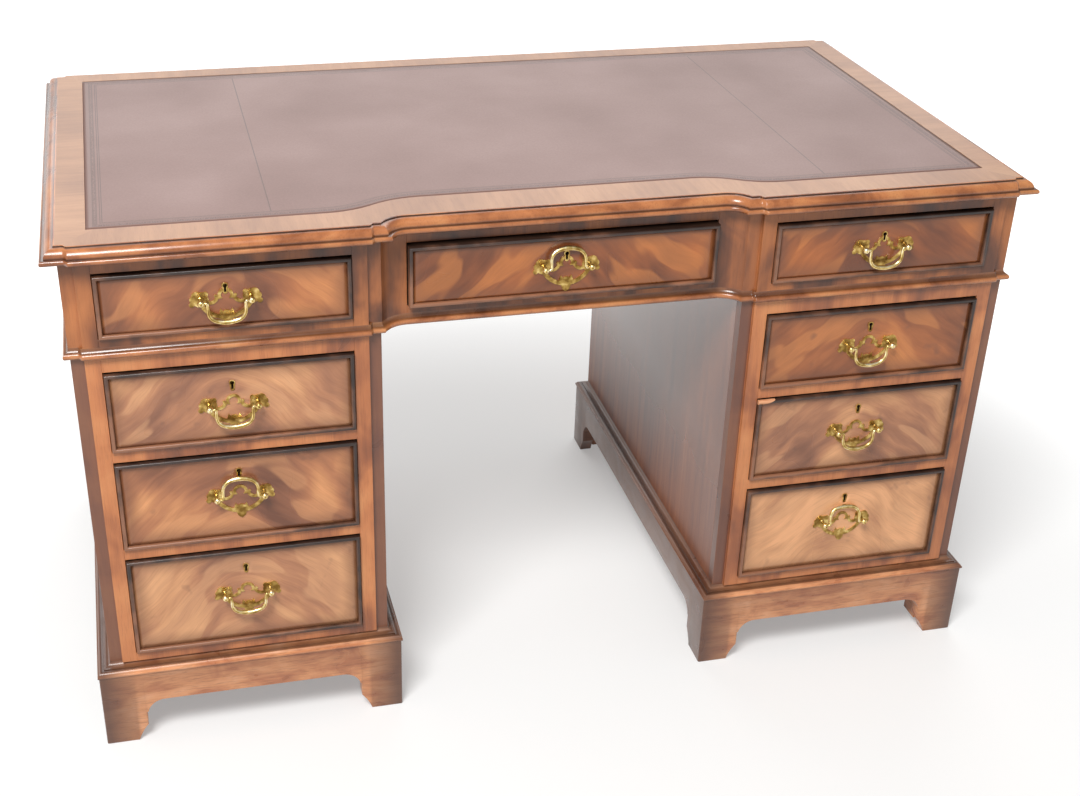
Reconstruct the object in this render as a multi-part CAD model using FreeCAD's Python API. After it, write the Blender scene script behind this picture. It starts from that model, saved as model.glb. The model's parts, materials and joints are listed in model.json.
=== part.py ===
import FreeCAD, Part
import math
import os

from FreeCAD import Vector

# A mahogany twin-pedestal writing desk in three parts: a top with a three-drawer frieze,
# standing on two pedestals of three drawers. Width runs along X, the front faces -Y, and
# the origin is on the floor under the middle of the desk. All sizes are in millimetres.

# Plan of the front: bays stand forward of narrow corner strips, and the centre is set back
# between two hollows
desk_depth = 755.0
kneehole_width = 515.0
drawer_width = 328.0
stile_width = 20.5
strip_width = 18.5
bay_step = 6.0
centre_setback = 26.0
hollow_radius = 45.0
centre_margin = 0.6

# Heights from the floor upwards
plinth_height = 121.0
plinth_moulding_height = 16.0
base_rail = 14.0
row_heights = {"lower": 158.0, "middle": 137.0, "upper": 117.0}
rail_height = 18.0
pedestal_top_rail = 24.0
frieze_sill = 26.0
frieze_drawer_height = 88.0
frieze_top_rail = 21.0
top_thickness = 21.0

# Boards
panel_thickness = 18.0
back_thickness = 12.0
cap_thickness = 12.0
dust_board = 8.0
stile_depth = 24.0
rail_depth = 32.0
pedestal_inset = 1.0

# Moulded edge of the top: a flat lap, a quirk, an ovolo and a bead
edge_reach = 20.5
edge_lap = 4.0
edge_quirk = 2.5
edge_fillet = 1.5
edge_bead = 9.0
edge_break = 6.5

# Waist moulding under the frieze: a cavetto over a bead
waist_reach = 7.6
waist_height = 15.0
waist_bead = 9.0
waist_break = 4.0

# Plinth with bracket feet, and its moulding
plinth_reach = 18.0
plinth_board = 22.0
plinth_lip = 1.6
foot_length = 47.0
foot_width = 62.0
foot_flare = 27.0
cove_width = 28.0
cove_drop = 20.0
apron_height = 70.0
corner_block = 34.0

# Leather inset in the top
leather_thickness = 1.2
leather_recess = 1.5
side_border = 38.0
front_border = 49.0
centre_border = 59.0
back_border = 36.0
sweep_length = 125.0

# Drawers
space_behind_drawers = 114.0
drawer_gap = 1.0
front_thickness = 20.0
bead_width = 5.5
bead_proud = 5.5
bead_seat = 9.0
side_thickness = 9.0
side_relief = 0.5
side_drop = 3.0
bottom_thickness = 6.0
bottom_rise = 8.0
groove_depth = 4.0
tail_lap = 1.0
tail_pitch = 36.0
tail_flare = 2.2
run_clearance = 0.3
runner_overlap = 12.0
guide_height = 28.0
stop_height = 5.0
stop_width = 30.0
stop_depth = 8.0
centre_drawer_open = 8.0

# Handles: pierced plate, ball-headed posts and a swinging bail
post_spacing = 65.0
post_reach = 14.0
post_ball = 9.5
post_shank = 4.0
post_collar = 8.0
collar_height = 3.0
plate_thickness = 1.6
bail_gap = 0.85
bail_drop = 28.5
bail_shoulder = 12.0
bail_flat = 1.5
bail_wire = 5.4
bail_pin = 3.0
bail_pin_end = 1.5
pin_clearance = 0.1
bail_lean = 16.0
nut_width = 8.0
nut_height = 3.5
washer_size = 12.0
washer_thickness = 1.0
hole_clearance = 0.3

# Locks: the keyhole is a set distance under the drawer's top edge
key_below_top = {"frieze": 26.0, "upper": 28.0, "middle": 27.5, "lower": 29.0}
handle_below_key = {"frieze": 17.5, "upper": 31.5, "middle": 37.5, "lower": 43.5}
key_radius = 2.8
key_slot_width = 3.0
key_slot_drop = 9.0
escutcheon_radius = 4.0
escutcheon_foot = 2.7
escutcheon_thickness = 1.2
lock_width = 50.0
lock_depth = 9.0
lock_foot = 15.0
bolt_width = 18.0
bolt_depth = 5.0
bolt_throw = 9.0
bolt_clearance = 0.3
bolt_tail = 4.0

# Places that follow from the sizes above
kneehole_half = kneehole_width / 2
opening_width = drawer_width + 2 * drawer_gap
block_width = opening_width + 2 * stile_width + 2 * strip_width
block_centre = kneehole_half + block_width / 2
frieze_half = kneehole_half + block_width
bay_front = edge_reach - desk_depth / 2
strip_front = bay_front + bay_step
centre_front = bay_front + centre_setback
frieze_back = -bay_front
strip_back = -strip_front
bay_inner = kneehole_half + strip_width
bay_outer = frieze_half - strip_width
hollow_rise = centre_front - strip_front
hollow_run = math.sqrt(hollow_radius ** 2 - (hollow_radius - hollow_rise) ** 2)
hollow_x = kneehole_half - hollow_run
hollow_y = centre_front - hollow_radius
hollow_chord = math.hypot(hollow_run, hollow_rise)
hollow_sag = hollow_radius - math.sqrt(hollow_radius ** 2 - hollow_chord ** 2 / 4)
centre_opening = 2 * (hollow_x - centre_margin)
centre_drawer_width = centre_opening - 2 * drawer_gap

tail_length = front_thickness - bead_seat - tail_lap
bail_half_width = post_spacing / 2 - post_ball / 2 - bail_wire / 2 - bail_gap

pedestal_front = bay_front + pedestal_inset
pedestal_strip = strip_front + pedestal_inset
pedestal_back = -pedestal_strip
pedestal_inner = kneehole_half + pedestal_inset
pedestal_outer = frieze_half - pedestal_inset
carcass_bottom = plinth_height + plinth_moulding_height

row_bottoms = {}
opening_low = carcass_bottom + base_rail
for row, row_height in row_heights.items():
    row_bottoms[row] = opening_low + drawer_gap
    opening_low = opening_low + row_height + 2 * drawer_gap + rail_height
pedestal_height = opening_low - rail_height + pedestal_top_rail
frieze_opening_low = pedestal_height + frieze_sill
frieze_opening_high = frieze_opening_low + frieze_drawer_height + 2 * drawer_gap
frieze_high = frieze_opening_high + frieze_top_rail
desk_height = frieze_high + top_thickness

row_bottoms["frieze"] = frieze_opening_low + drawer_gap
drawer_heights = dict(row_heights, frieze=frieze_drawer_height)

up = Vector(0, 0, 1)
margin = 1.0


def box(x_low, x_high, y_low, y_high, z_low, z_high):
    return Part.makeBox(x_high - x_low, y_high - y_low, z_high - z_low, Vector(x_low, y_low, z_low))


# A closed outline of steps (u, v) or (u, v, sag): with a sag, the stretch that ends at the step
# is an arc that bows that far to the left of its travel. place turns u and v into a point.
def outline(steps, place):
    edges = []
    for start, end in zip(steps, steps[1:] + steps[:1]):
        sag = end[2] if len(end) > 2 else 0.0
        first = place(start[0], start[1])
        last = place(end[0], end[1])
        if sag:
            run = math.hypot(end[0] - start[0], end[1] - start[1])
            middle_u = (start[0] + end[0]) / 2 - sag * (end[1] - start[1]) / run
            middle_v = (start[1] + end[1]) / 2 + sag * (end[0] - start[0]) / run
            edges.append(Part.Arc(first, place(middle_u, middle_v), last).toShape())
        else:
            edges.append(Part.LineSegment(first, last).toShape())
    return Part.Face(Part.Wire(edges))


def slab(steps, z_low, z_high):
    face = outline(steps, lambda x, y: Vector(x, y, z_low))
    return face.extrude(up * (z_high - z_low))


# An outline in the XZ plane, thickened along Y
def upright(steps, y_low, y_high):
    face = outline(steps, lambda x, z: Vector(x, y_low, z))
    return face.extrude(Vector(0, y_high - y_low, 0))


def mirrored(shape):
    return shape.mirror(Vector(0, 0, 0), Vector(1, 0, 0))


def both_sides(shapes):
    return shapes + [mirrored(shape) for shape in shapes]


def save(node, solids):
    Part.makeCompound(solids).exportStep("parts/" + node + ".step")


# How far a profile stands out, with the bulge of its arcs
def profile_reach(profile):
    reach = 0.0
    for start, end in zip(profile, profile[1:]):
        sag = end[2] if len(end) > 2 else 0.0
        run = math.hypot(end[0] - start[0], end[1] - start[1])
        reach = max(reach, end[0], (start[0] + end[0]) / 2 - sag * (end[1] - start[1]) / run)
    return reach


# Bow of a hollow that leaves an upright face almost upright and ends so far out and down
def cavetto(out, down):
    return -0.45 * math.hypot(out, down) * math.tan(math.atan2(out, down) / 2)


# A straight length of moulding. Its profile is steps (outward, height, sag). The outline of the
# desk is followed anticlockwise from above, so outward is to the right of the travel. The ends
# are cut along two plan vectors that give the cut's way for one millimetre outward.
def moulding_length(profile, base, start, end, start_cut, end_cut):
    reach = profile_reach(profile) + margin
    along = (end - start).normalize()
    outward = Vector(along.y, -along.x, 0)
    origin = start - along * reach + up * base
    face = outline(profile, lambda d, h: origin + outward * d + up * h)
    bar = face.extrude(along * ((end - start).Length + 2 * reach))
    corners = [start - start_cut, end - end_cut, end + end_cut * reach, start + start_cut * reach]
    heights = [base + step[1] for step in profile]
    wedge = slab([(p.x, p.y) for p in corners], min(heights) - margin, max(heights) + margin)
    return bar.common(wedge).Solids[0]


# The plan vector of the cut between a corner strip and the hollow: from the corner of the frieze
# to where the strip and the hollow cross at the moulding's full reach
def hollow_cut(reach):
    cross_y = strip_front - reach
    cross_x = hollow_x + math.sqrt((hollow_radius - reach) ** 2 - (cross_y - hollow_y) ** 2)
    return Vector(cross_x - kneehole_half, -reach, 0) * (1 / reach)


# The curved length of moulding in the right-hand hollow
def moulding_hollow(profile, base):
    reach = profile_reach(profile)
    cut = hollow_cut(reach)
    centre = Vector(hollow_x, hollow_y, base)
    face = outline(profile, lambda d, h: centre + Vector(hollow_radius - d, 0, h))
    ring = face.revolve(centre, up, 90)
    corner = Vector(kneehole_half, strip_front, 0)
    inside = corner - cut
    outside = corner + cut * (reach + margin)
    heights = [base + step[1] for step in profile]
    keep = [(inside.x, inside.y), (hollow_x - margin, centre_front + margin),
            (hollow_x - margin, outside.y - margin), (outside.x, outside.y)]
    wedge = slab(keep, min(heights) - margin, max(heights) + margin)
    return ring.common(wedge).Solids[0]


# Backing for a length that runs past its bay, between the strip's face and the bay's
def bay_backing(profile, base, x_low, x_high, y_low, y_high):
    heights = [base + step[1] for step in profile]
    return box(x_low, x_high, y_low, y_high, min(heights), max(heights))


# All the lengths of a moulding that runs right round the top section. Where no board lies behind
# the ends of the bays' lengths, these are backed.
def moulding_round(profile, base, run_past, backed):
    reach = profile_reach(profile)
    left_bay = bay_inner - run_past
    right_bay = bay_outer + run_past
    corner_front = Vector(1, -1, 0)
    corner_back = Vector(1, 1, 0)
    forward = Vector(0, -1, 0)
    rear = Vector(0, 1, 0)
    bay = moulding_length(profile, base, Vector(left_bay, bay_front, 0),
                          Vector(right_bay, bay_front, 0), forward, forward)
    centre = moulding_length(profile, base, Vector(-hollow_x, centre_front, 0),
                             Vector(hollow_x, centre_front, 0), forward, forward)
    back = moulding_length(profile, base, Vector(right_bay, frieze_back, 0),
                           Vector(-right_bay, frieze_back, 0), rear, rear)
    if backed:
        front_ends = [bay_backing(profile, base, left_bay, bay_inner, bay_front, strip_front),
                      bay_backing(profile, base, bay_outer, right_bay, bay_front, strip_front)]
        back_ends = [bay_backing(profile, base, bay_outer, right_bay, strip_back, frieze_back),
                     bay_backing(profile, base, -right_bay, -bay_outer, strip_back, frieze_back)]
        bay = bay.multiFuse(front_ends).removeSplitter().Solids[0]
        back = back.multiFuse(back_ends).removeSplitter().Solids[0]
    right = [
        bay,
        moulding_hollow(profile, base),
        moulding_length(profile, base, Vector(kneehole_half, strip_front, 0),
                        Vector(left_bay, strip_front, 0), hollow_cut(reach), forward),
        moulding_length(profile, base, Vector(right_bay, strip_front, 0),
                        Vector(frieze_half, strip_front, 0), forward, corner_front),
        moulding_length(profile, base, Vector(frieze_half, strip_front, 0),
                        Vector(frieze_half, strip_back, 0), corner_front, corner_back),
        moulding_length(profile, base, Vector(frieze_half, strip_back, 0),
                        Vector(right_bay, strip_back, 0), corner_back, rear),
    ]
    return both_sides(right) + [centre, back]


# Top board, leather and moulded edge
def build_top():
    left_bay = bay_inner - edge_break
    right_bay = bay_outer + edge_break
    right_front = [(hollow_x, centre_front), (kneehole_half, strip_front, hollow_sag),
                   (left_bay, strip_front), (left_bay, bay_front), (right_bay, bay_front),
                   (right_bay, strip_front), (frieze_half, strip_front)]
    right_back = [(frieze_half, strip_back), (right_bay, strip_back), (right_bay, frieze_back)]
    left_back = [(-right_bay, frieze_back), (-right_bay, strip_back), (-frieze_half, strip_back)]
    left_front = [(-frieze_half, strip_front), (-right_bay, strip_front), (-right_bay, bay_front),
                  (-left_bay, bay_front), (-left_bay, strip_front), (-kneehole_half, strip_front),
                  (-hollow_x, centre_front, hollow_sag)]
    board = slab(right_front + right_back + left_back + left_front, frieze_high, desk_height)

    recess_floor = desk_height - leather_recess
    leather_plan = leather_outline()
    recess = slab(leather_plan, recess_floor, desk_height + margin)
    leather = slab(leather_plan, recess_floor, recess_floor + leather_thickness)

    ovolo_foot = edge_reach - edge_bead / 2 - edge_fillet
    bead_root = edge_reach - edge_bead / 2
    bead_top = edge_bead - top_thickness
    ovolo_drop = bead_top + edge_fillet / 2
    profile = [(0, 0), (edge_lap, 0), (edge_lap, -edge_quirk), (edge_lap + edge_fillet, -edge_quirk),
               (ovolo_foot, ovolo_drop, 2.4), (ovolo_foot, bead_top), (bead_root, bead_top),
               (bead_root, -top_thickness, edge_bead / 2), (0, -top_thickness)]
    save("top_board", [board.cut(recess)])
    save("leather_inset", [leather])
    save("top_edge_moulding", moulding_round(profile, desk_height, edge_break, False))


# The leather's front edge follows the bays and the centre in two S-shaped sweeps, each of two
# equal arcs
def leather_outline():
    side = frieze_half - side_border
    bay_edge = bay_front + front_border
    centre_edge = centre_front + centre_border
    rear = frieze_back - back_border
    sweep_outer = kneehole_half + sweep_length / 2
    sweep_inner = kneehole_half - sweep_length / 2
    half_run = sweep_length / 2
    half_rise = (centre_edge - bay_edge) / 2
    chord = math.hypot(half_run, half_rise)
    sweep_radius = chord ** 2 / (2 * half_rise)
    sag = sweep_radius - math.sqrt(sweep_radius ** 2 - chord ** 2 / 4)
    middle_edge = bay_edge + half_rise
    return [(-side, bay_edge), (-sweep_outer, bay_edge), (-kneehole_half, middle_edge, -sag),
            (-sweep_inner, centre_edge, sag), (sweep_inner, centre_edge),
            (kneehole_half, middle_edge, sag), (sweep_outer, bay_edge, -sag), (side, bay_edge),
            (side, rear), (-side, rear)]


# The mortise for a lock's bolt in the rail above a drawer, long enough from front to back for a
# drawer that stands a little open
def bolt_mortise(centre_x, face_y, opening_high, stands_open=0.0):
    channel_back = face_y + front_thickness - (lock_depth - bolt_depth) / 2 + bolt_clearance
    channel_front = channel_back - bolt_depth - 2 * bolt_clearance - stands_open
    half = bolt_width / 2 + bolt_clearance
    return box(centre_x - half, centre_x + half, channel_front, channel_back,
               opening_high - margin, opening_high + bolt_throw + margin)


# Two small blocks on a rail that stop a drawer front
def drawer_stops(centre_x, face_y, width, rail_top):
    back_face = face_y + front_thickness + run_clearance
    spread = width / 4
    return [box(centre_x + side * spread - stop_width / 2, centre_x + side * spread + stop_width / 2,
                back_face, back_face + stop_depth, rail_top, rail_top + stop_height)
            for side in (-1, 1)]


# What a drawer runs on: runners under its sides, guides beside them and kickers above, between
# two walls of the case
def drawer_ways(centre_x, width, wall_low, wall_high, y_front, y_back, floor, bottom, top, ceiling):
    half = width / 2 - side_relief
    seat = bottom - run_clearance
    lap = half - side_thickness - runner_overlap
    low_lap = centre_x - lap
    high_lap = centre_x + lap
    low_side = centre_x - half - run_clearance
    high_side = centre_x + half + run_clearance
    ways = [box(wall_low, low_lap, y_front, y_back, floor, seat),
            box(high_lap, wall_high, y_front, y_back, floor, seat),
            box(wall_low, low_side, y_front, y_back, seat, seat + guide_height),
            box(high_side, wall_high, y_front, y_back, seat, seat + guide_height)]
    if ceiling is not None:
        ways.append(box(wall_low, low_lap, y_front, y_back, top + drawer_gap, ceiling))
        ways.append(box(high_lap, wall_high, y_front, y_back, top + drawer_gap, ceiling))
    return ways


# Frieze: front frame with hollow-cornered posts, case boards, runners and waist moulding
def build_frieze():
    low_edge = block_centre - opening_width / 2
    high_edge = block_centre + opening_width / 2
    stile_back = bay_front + stile_depth
    post_back = centre_front + stile_depth
    centre_half = centre_opening / 2
    partition_low = kneehole_half + pedestal_inset
    partition_high = partition_low + panel_thickness
    end_inner = frieze_half - panel_thickness

    post = slab([(centre_half, centre_front), (hollow_x, centre_front),
                 (kneehole_half, strip_front, hollow_sag), (bay_inner, strip_front),
                 (bay_inner, bay_front), (low_edge, bay_front), (low_edge, stile_back),
                 (partition_high, stile_back), (partition_high, post_back),
                 (centre_half, post_back)], pedestal_height, frieze_high)
    stile = slab([(high_edge, bay_front), (bay_outer, bay_front), (bay_outer, strip_front),
                  (frieze_half, strip_front), (frieze_half, stile_back), (high_edge, stile_back)],
                 pedestal_height, frieze_high)
    side_back = bay_front + rail_depth
    centre_back = centre_front + rail_depth
    side_sill = box(low_edge, high_edge, bay_front, side_back, pedestal_height, frieze_opening_low)
    side_rail = box(low_edge, high_edge, bay_front, side_back, frieze_opening_high, frieze_high)
    side_rail = side_rail.cut(bolt_mortise(block_centre, bay_front, frieze_opening_high))
    stops = drawer_stops(block_centre, bay_front, drawer_width, frieze_opening_low)
    frame = both_sides([post, stile, side_sill, side_rail] + stops)
    centre_rail = box(-centre_half, centre_half, centre_front, centre_back,
                      frieze_opening_high, frieze_high)
    frame.append(centre_rail.cut(bolt_mortise(0.0, centre_front, frieze_opening_high,
                                              centre_drawer_open)))
    frame.append(box(-centre_half, centre_half, centre_front, centre_back,
                     pedestal_height, frieze_opening_low))
    frame += drawer_stops(0.0, centre_front, centre_drawer_width, frieze_opening_low)
    save("frieze_front_frame", frame)

    back_inner = strip_back - back_thickness
    end = box(end_inner, frieze_half, stile_back, back_inner, pedestal_height, frieze_high)
    partition = box(partition_low, partition_high, post_back, back_inner, pedestal_height, frieze_high)
    back = box(-frieze_half, frieze_half, back_inner, strip_back, pedestal_height, frieze_high)
    back_facing = box(-bay_outer, bay_outer, strip_back, frieze_back, pedestal_height, frieze_high)
    save("frieze_case", both_sides([end, partition]) + [back, back_facing])

    floor = pedestal_height + dust_board
    drawer_bottom = row_bottoms["frieze"]
    drawer_top = drawer_bottom + frieze_drawer_height
    side_ways = drawer_ways(block_centre, drawer_width, partition_high, end_inner, post_back,
                            back_inner, floor, drawer_bottom, drawer_top, frieze_high)
    side_dust = box(partition_high, end_inner, post_back, back_inner, pedestal_height, floor)
    centre_ways = drawer_ways(0.0, centre_drawer_width, -partition_low, partition_low, centre_back,
                              back_inner, floor, drawer_bottom, drawer_top, frieze_high)
    centre_dust = box(-partition_low, partition_low, centre_back, back_inner, pedestal_height, floor)
    save("frieze_runners", both_sides(side_ways + [side_dust]) + centre_ways + [centre_dust])

    bead_root = waist_reach - waist_bead / 2
    profile = [(0, waist_height), (bead_root, waist_bead, cavetto(bead_root, waist_height - waist_bead)),
               (bead_root, 0, waist_bead / 2), (0, 0)]
    save("waist_moulding", moulding_round(profile, pedestal_height, waist_break, True))


# One pedestal on the right, mirrored for the left: case, front frame, runners and plinth
def build_pedestals():
    low_edge = block_centre - opening_width / 2
    high_edge = block_centre + opening_width / 2
    stile_back = pedestal_front + stile_depth
    rail_back = pedestal_front + rail_depth
    inner_wall = pedestal_inner + panel_thickness
    outer_wall = pedestal_outer - panel_thickness
    back_inner = pedestal_back - back_thickness
    cap_low = pedestal_height - cap_thickness

    inner_side = box(pedestal_inner, inner_wall, stile_back, back_inner, plinth_height, pedestal_height)
    outer_side = box(outer_wall, pedestal_outer, stile_back, back_inner, plinth_height, pedestal_height)
    back = box(pedestal_inner, pedestal_outer, back_inner, pedestal_back, plinth_height, pedestal_height)
    cap = box(inner_wall, outer_wall, rail_back, back_inner, cap_low, pedestal_height)
    base = box(inner_wall, outer_wall, rail_back, back_inner, plinth_height, carcass_bottom)
    case = [inner_side, outer_side, back, cap, base]

    inner_stile = slab([(pedestal_inner, pedestal_strip), (bay_inner, pedestal_strip),
                        (bay_inner, pedestal_front), (low_edge, pedestal_front),
                        (low_edge, stile_back), (pedestal_inner, stile_back)],
                       carcass_bottom, pedestal_height)
    inner_foot = box(pedestal_inner, low_edge, pedestal_strip, stile_back, plinth_height, carcass_bottom)
    outer_stile = slab([(high_edge, pedestal_front), (bay_outer, pedestal_front),
                        (bay_outer, pedestal_strip), (pedestal_outer, pedestal_strip),
                        (pedestal_outer, stile_back), (high_edge, stile_back)],
                       carcass_bottom, pedestal_height)
    outer_foot = box(high_edge, pedestal_outer, pedestal_strip, stile_back, plinth_height, carcass_bottom)
    base_top = carcass_bottom + base_rail
    base_front = box(low_edge, high_edge, pedestal_front, rail_back, carcass_bottom, base_top)
    base_foot = box(low_edge, high_edge, pedestal_strip, rail_back, plinth_height, carcass_bottom)
    frame = [inner_stile.fuse(inner_foot).removeSplitter(), outer_stile.fuse(outer_foot).removeSplitter(),
             base_front.fuse(base_foot).removeSplitter()]
    ways = []
    floors = {"lower": carcass_bottom}
    rows = list(row_heights)
    for row, next_row in zip(rows, rows[1:] + [None]):
        bottom = row_bottoms[row]
        top = bottom + row_heights[row]
        rail_low = top + drawer_gap
        rail_high = row_bottoms[next_row] - drawer_gap if next_row else pedestal_height
        rail = box(low_edge, high_edge, pedestal_front, rail_back, rail_low, rail_high)
        frame.append(rail.cut(bolt_mortise(block_centre, pedestal_front, rail_low)))
        frame += drawer_stops(block_centre, pedestal_front, drawer_width, bottom - drawer_gap)
        if next_row:
            floors[next_row] = rail_low
        ways += drawer_ways(block_centre, drawer_width, inner_wall, outer_wall, rail_back, back_inner,
                            floors[row], bottom, top, None if next_row else cap_low)
    plinth = build_plinth()
    for side, turn in (("right", lambda shape: shape), ("left", mirrored)):
        save(side + "_pedestal_case", [turn(solid) for solid in case])
        save(side + "_pedestal_front_frame", [turn(solid) for solid in frame])
        save(side + "_pedestal_runners", [turn(solid) for solid in ways])
        save(side + "_plinth", [turn(solid) for solid in plinth])


# The space between two bracket feet under a board of the given length, from its left end: each
# foot rises with a flared toe to an upright edge, a small cusp and a cove
def bracket_cut(length):
    cove_foot = apron_height - cove_drop
    cove_sag = cove_drop * 0.29
    cusp = bead_width / 3
    left = [(foot_length, -margin), (foot_length, 0), (foot_width, foot_flare, 1.5),
            (foot_width, cove_foot), (foot_width + cusp, cove_foot),
            (foot_width + cove_width, apron_height, cove_sag)]
    right = [(length - foot_width - cove_width, apron_height),
             (length - foot_width - cusp, cove_foot, cove_sag), (length - foot_width, cove_foot),
             (length - foot_width, foot_flare), (length - foot_length, 0, 1.5),
             (length - foot_length, -margin)]
    return left + right


# Plinth of the right-hand pedestal: four mitred boards, four corner blocks and the moulding
def build_plinth():
    low_x = pedestal_inner - plinth_reach
    high_x = pedestal_outer + plinth_reach
    low_y = pedestal_strip - plinth_reach
    high_y = pedestal_back + plinth_reach
    inset = plinth_board
    across = high_x - low_x
    along = high_y - low_y
    middle_y = (low_y + high_y) / 2
    middle_x = (low_x + high_x) / 2

    front = slab([(low_x, low_y), (high_x, low_y), (high_x - inset, low_y + inset),
                  (low_x + inset, low_y + inset)], 0, plinth_height)
    front_space = outline(bracket_cut(across), lambda u, v: Vector(low_x + u, low_y - margin, v))
    front = front.cut(front_space.extrude(Vector(0, inset + 2 * margin, 0)))
    rear = front.mirror(Vector(middle_x, middle_y, 0), Vector(0, 1, 0))
    outer = slab([(high_x, low_y), (high_x, high_y), (high_x - inset, high_y - inset),
                  (high_x - inset, low_y + inset)], 0, plinth_height)
    side_space = outline(bracket_cut(along), lambda u, v: Vector(high_x + margin, low_y + u, v))
    outer = outer.cut(side_space.extrude(Vector(-inset - 2 * margin, 0, 0)))
    inner = outer.mirror(Vector(middle_x, middle_y, 0), Vector(1, 0, 0))

    blocks = []
    for x_low in (low_x + inset, high_x - inset - corner_block):
        for y_low in (low_y + inset, high_y - inset - corner_block):
            blocks.append(box(x_low, x_low + corner_block, y_low, y_low + corner_block,
                              foot_flare / 2, plinth_height))

    reach = plinth_reach + plinth_lip
    step_out = reach / 2
    height = plinth_moulding_height
    hollow_out = step_out - edge_fillet
    profile = [(0, height), (hollow_out, height * 0.6, cavetto(hollow_out, height * 0.4)),
               (step_out, height * 0.6), (step_out, height * 0.5),
               (reach - plinth_lip, height * 0.25, 1.8), (reach, height * 0.2),
               (reach, 0), (0, 0)]
    left_front = Vector(pedestal_inner, pedestal_strip, 0)
    right_front = Vector(pedestal_outer, pedestal_strip, 0)
    right_back = Vector(pedestal_outer, pedestal_back, 0)
    left_back = Vector(pedestal_inner, pedestal_back, 0)
    ring = [left_front, right_front, right_back, left_back]
    cuts = [Vector(-1, -1, 0), Vector(1, -1, 0), Vector(1, 1, 0), Vector(-1, 1, 0)]
    lengths = []
    for i in range(4):
        j = (i + 1) % 4
        lengths.append(moulding_length(profile, plinth_height, ring[i], ring[j], cuts[i], cuts[j]))
    return [front, rear, outer, inner] + blocks + lengths


# Shapes of a handle, with the line between the posts on X and the drawer's face at y = 0
def disc(x, z, radius, thickness):
    return Part.makeCylinder(radius, thickness, Vector(x, -thickness, z), Vector(0, 1, 0))


# Part of a flat ring, kept between two heights
def band(x, z, outer, inner, z_low, z_high, thickness):
    ring = disc(x, z, outer, thickness).cut(disc(x, z, inner, thickness))
    return ring.common(box(x - outer - margin, x + outer + margin, -thickness - margin, margin,
                           z_low, z_high))


# Pierced back plate: a lobed ear behind each post, arms that dip to a central arch, a swag below
# with a two-pointed crown and a pointed drop
def back_plate():
    half = post_spacing / 2
    t = plate_thickness
    pieces = [
        band(0, 4.3, 10.2, 6.0, 0.0, 16.0, t),
        band(0, 8.7, 38.4, 32.6, -31.0, -8.0, t),
        upright([(-11.5, -26), (-7.6, -14.6), (-4.4, -18.6), (0, -16.8, 0.8), (4.4, -18.6, 0.8),
                 (7.6, -14.6), (11.5, -26)], -t, 0),
        upright([(-4.6, -27, 0.7), (4.6, -27), (6.4, -31, 0.7), (0, -38.4, 1.2),
                 (-6.4, -31, 1.2)], -t, 0),
    ]
    for side in (-1, 1):
        pieces += [
            disc(side * half, 0, 10.6, t),
            disc(side * (half + 4.5), 5.0, 6.6, t),
            disc(side * (half + 8.6), 0.6, 5.2, t),
            disc(side * (half + 11.2), -6.4, 3.6, t),
            disc(side * (half - 6.8), 7.2, 3.6, t),
            disc(side * 12.6, 3.8, 2.0, t),
            band(side * 20.0, 3.4, 11.2, 6.6, -9.0, 2.4, t),
        ]
    plate = pieces[0].multiFuse(pieces[1:]).removeSplitter()
    for side in (-1, 1):
        plate = plate.cut(disc(side * half, 0, post_shank / 2 + hole_clearance, 3 * t).translate(
            Vector(0, t, 0)))
    return plate.Solids[0]


# A post: ball head on a turned neck, a collar on the plate and a shank through the drawer front.
# The ball is bored from the inner side for the bail's pin.
def handle_post(side):
    x = side * post_spacing / 2
    nut_end = front_thickness + washer_thickness + nut_height + margin
    face = -plate_thickness
    back_way = Vector(0, 1, 0)
    shank = Part.makeCylinder(post_shank / 2, nut_end + post_reach, Vector(x, -post_reach, 0), back_way)
    collar = Part.makeCone(post_shank * 0.75, post_collar / 2, collar_height,
                           Vector(x, face - collar_height, 0), back_way)
    ball = Part.makeSphere(post_ball / 2, Vector(x, -post_reach, 0))
    post = shank.multiFuse([collar, ball]).removeSplitter()
    bore_length = post_ball / 2 + bail_pin_end
    bore = Part.makeCylinder(bail_pin / 2 + pin_clearance, bore_length,
                             Vector(x + side * (bail_pin_end - margin), 0, 0) - Vector(0, post_reach, 0),
                             Vector(-side, 0, 0))
    return post.cut(bore)


def post_nut(side):
    x = side * post_spacing / 2
    washer = Part.makeCylinder(washer_size / 2, washer_thickness, Vector(x, front_thickness, 0),
                               Vector(0, 1, 0))
    nut_y = front_thickness + washer_thickness
    corner = nut_width / math.sqrt(3)
    hexagon = [(x + corner * math.cos(math.radians(60 * i)), corner * math.sin(math.radians(60 * i)))
               for i in range(6)]
    nut = upright(hexagon, nut_y, nut_y + nut_height)
    hole = Part.makeCylinder(post_shank / 2 + pin_clearance, washer_thickness + nut_height + 2 * margin,
                             Vector(x, front_thickness - margin, 0), Vector(0, 1, 0))
    return [washer.cut(hole), nut.cut(hole)]


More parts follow.
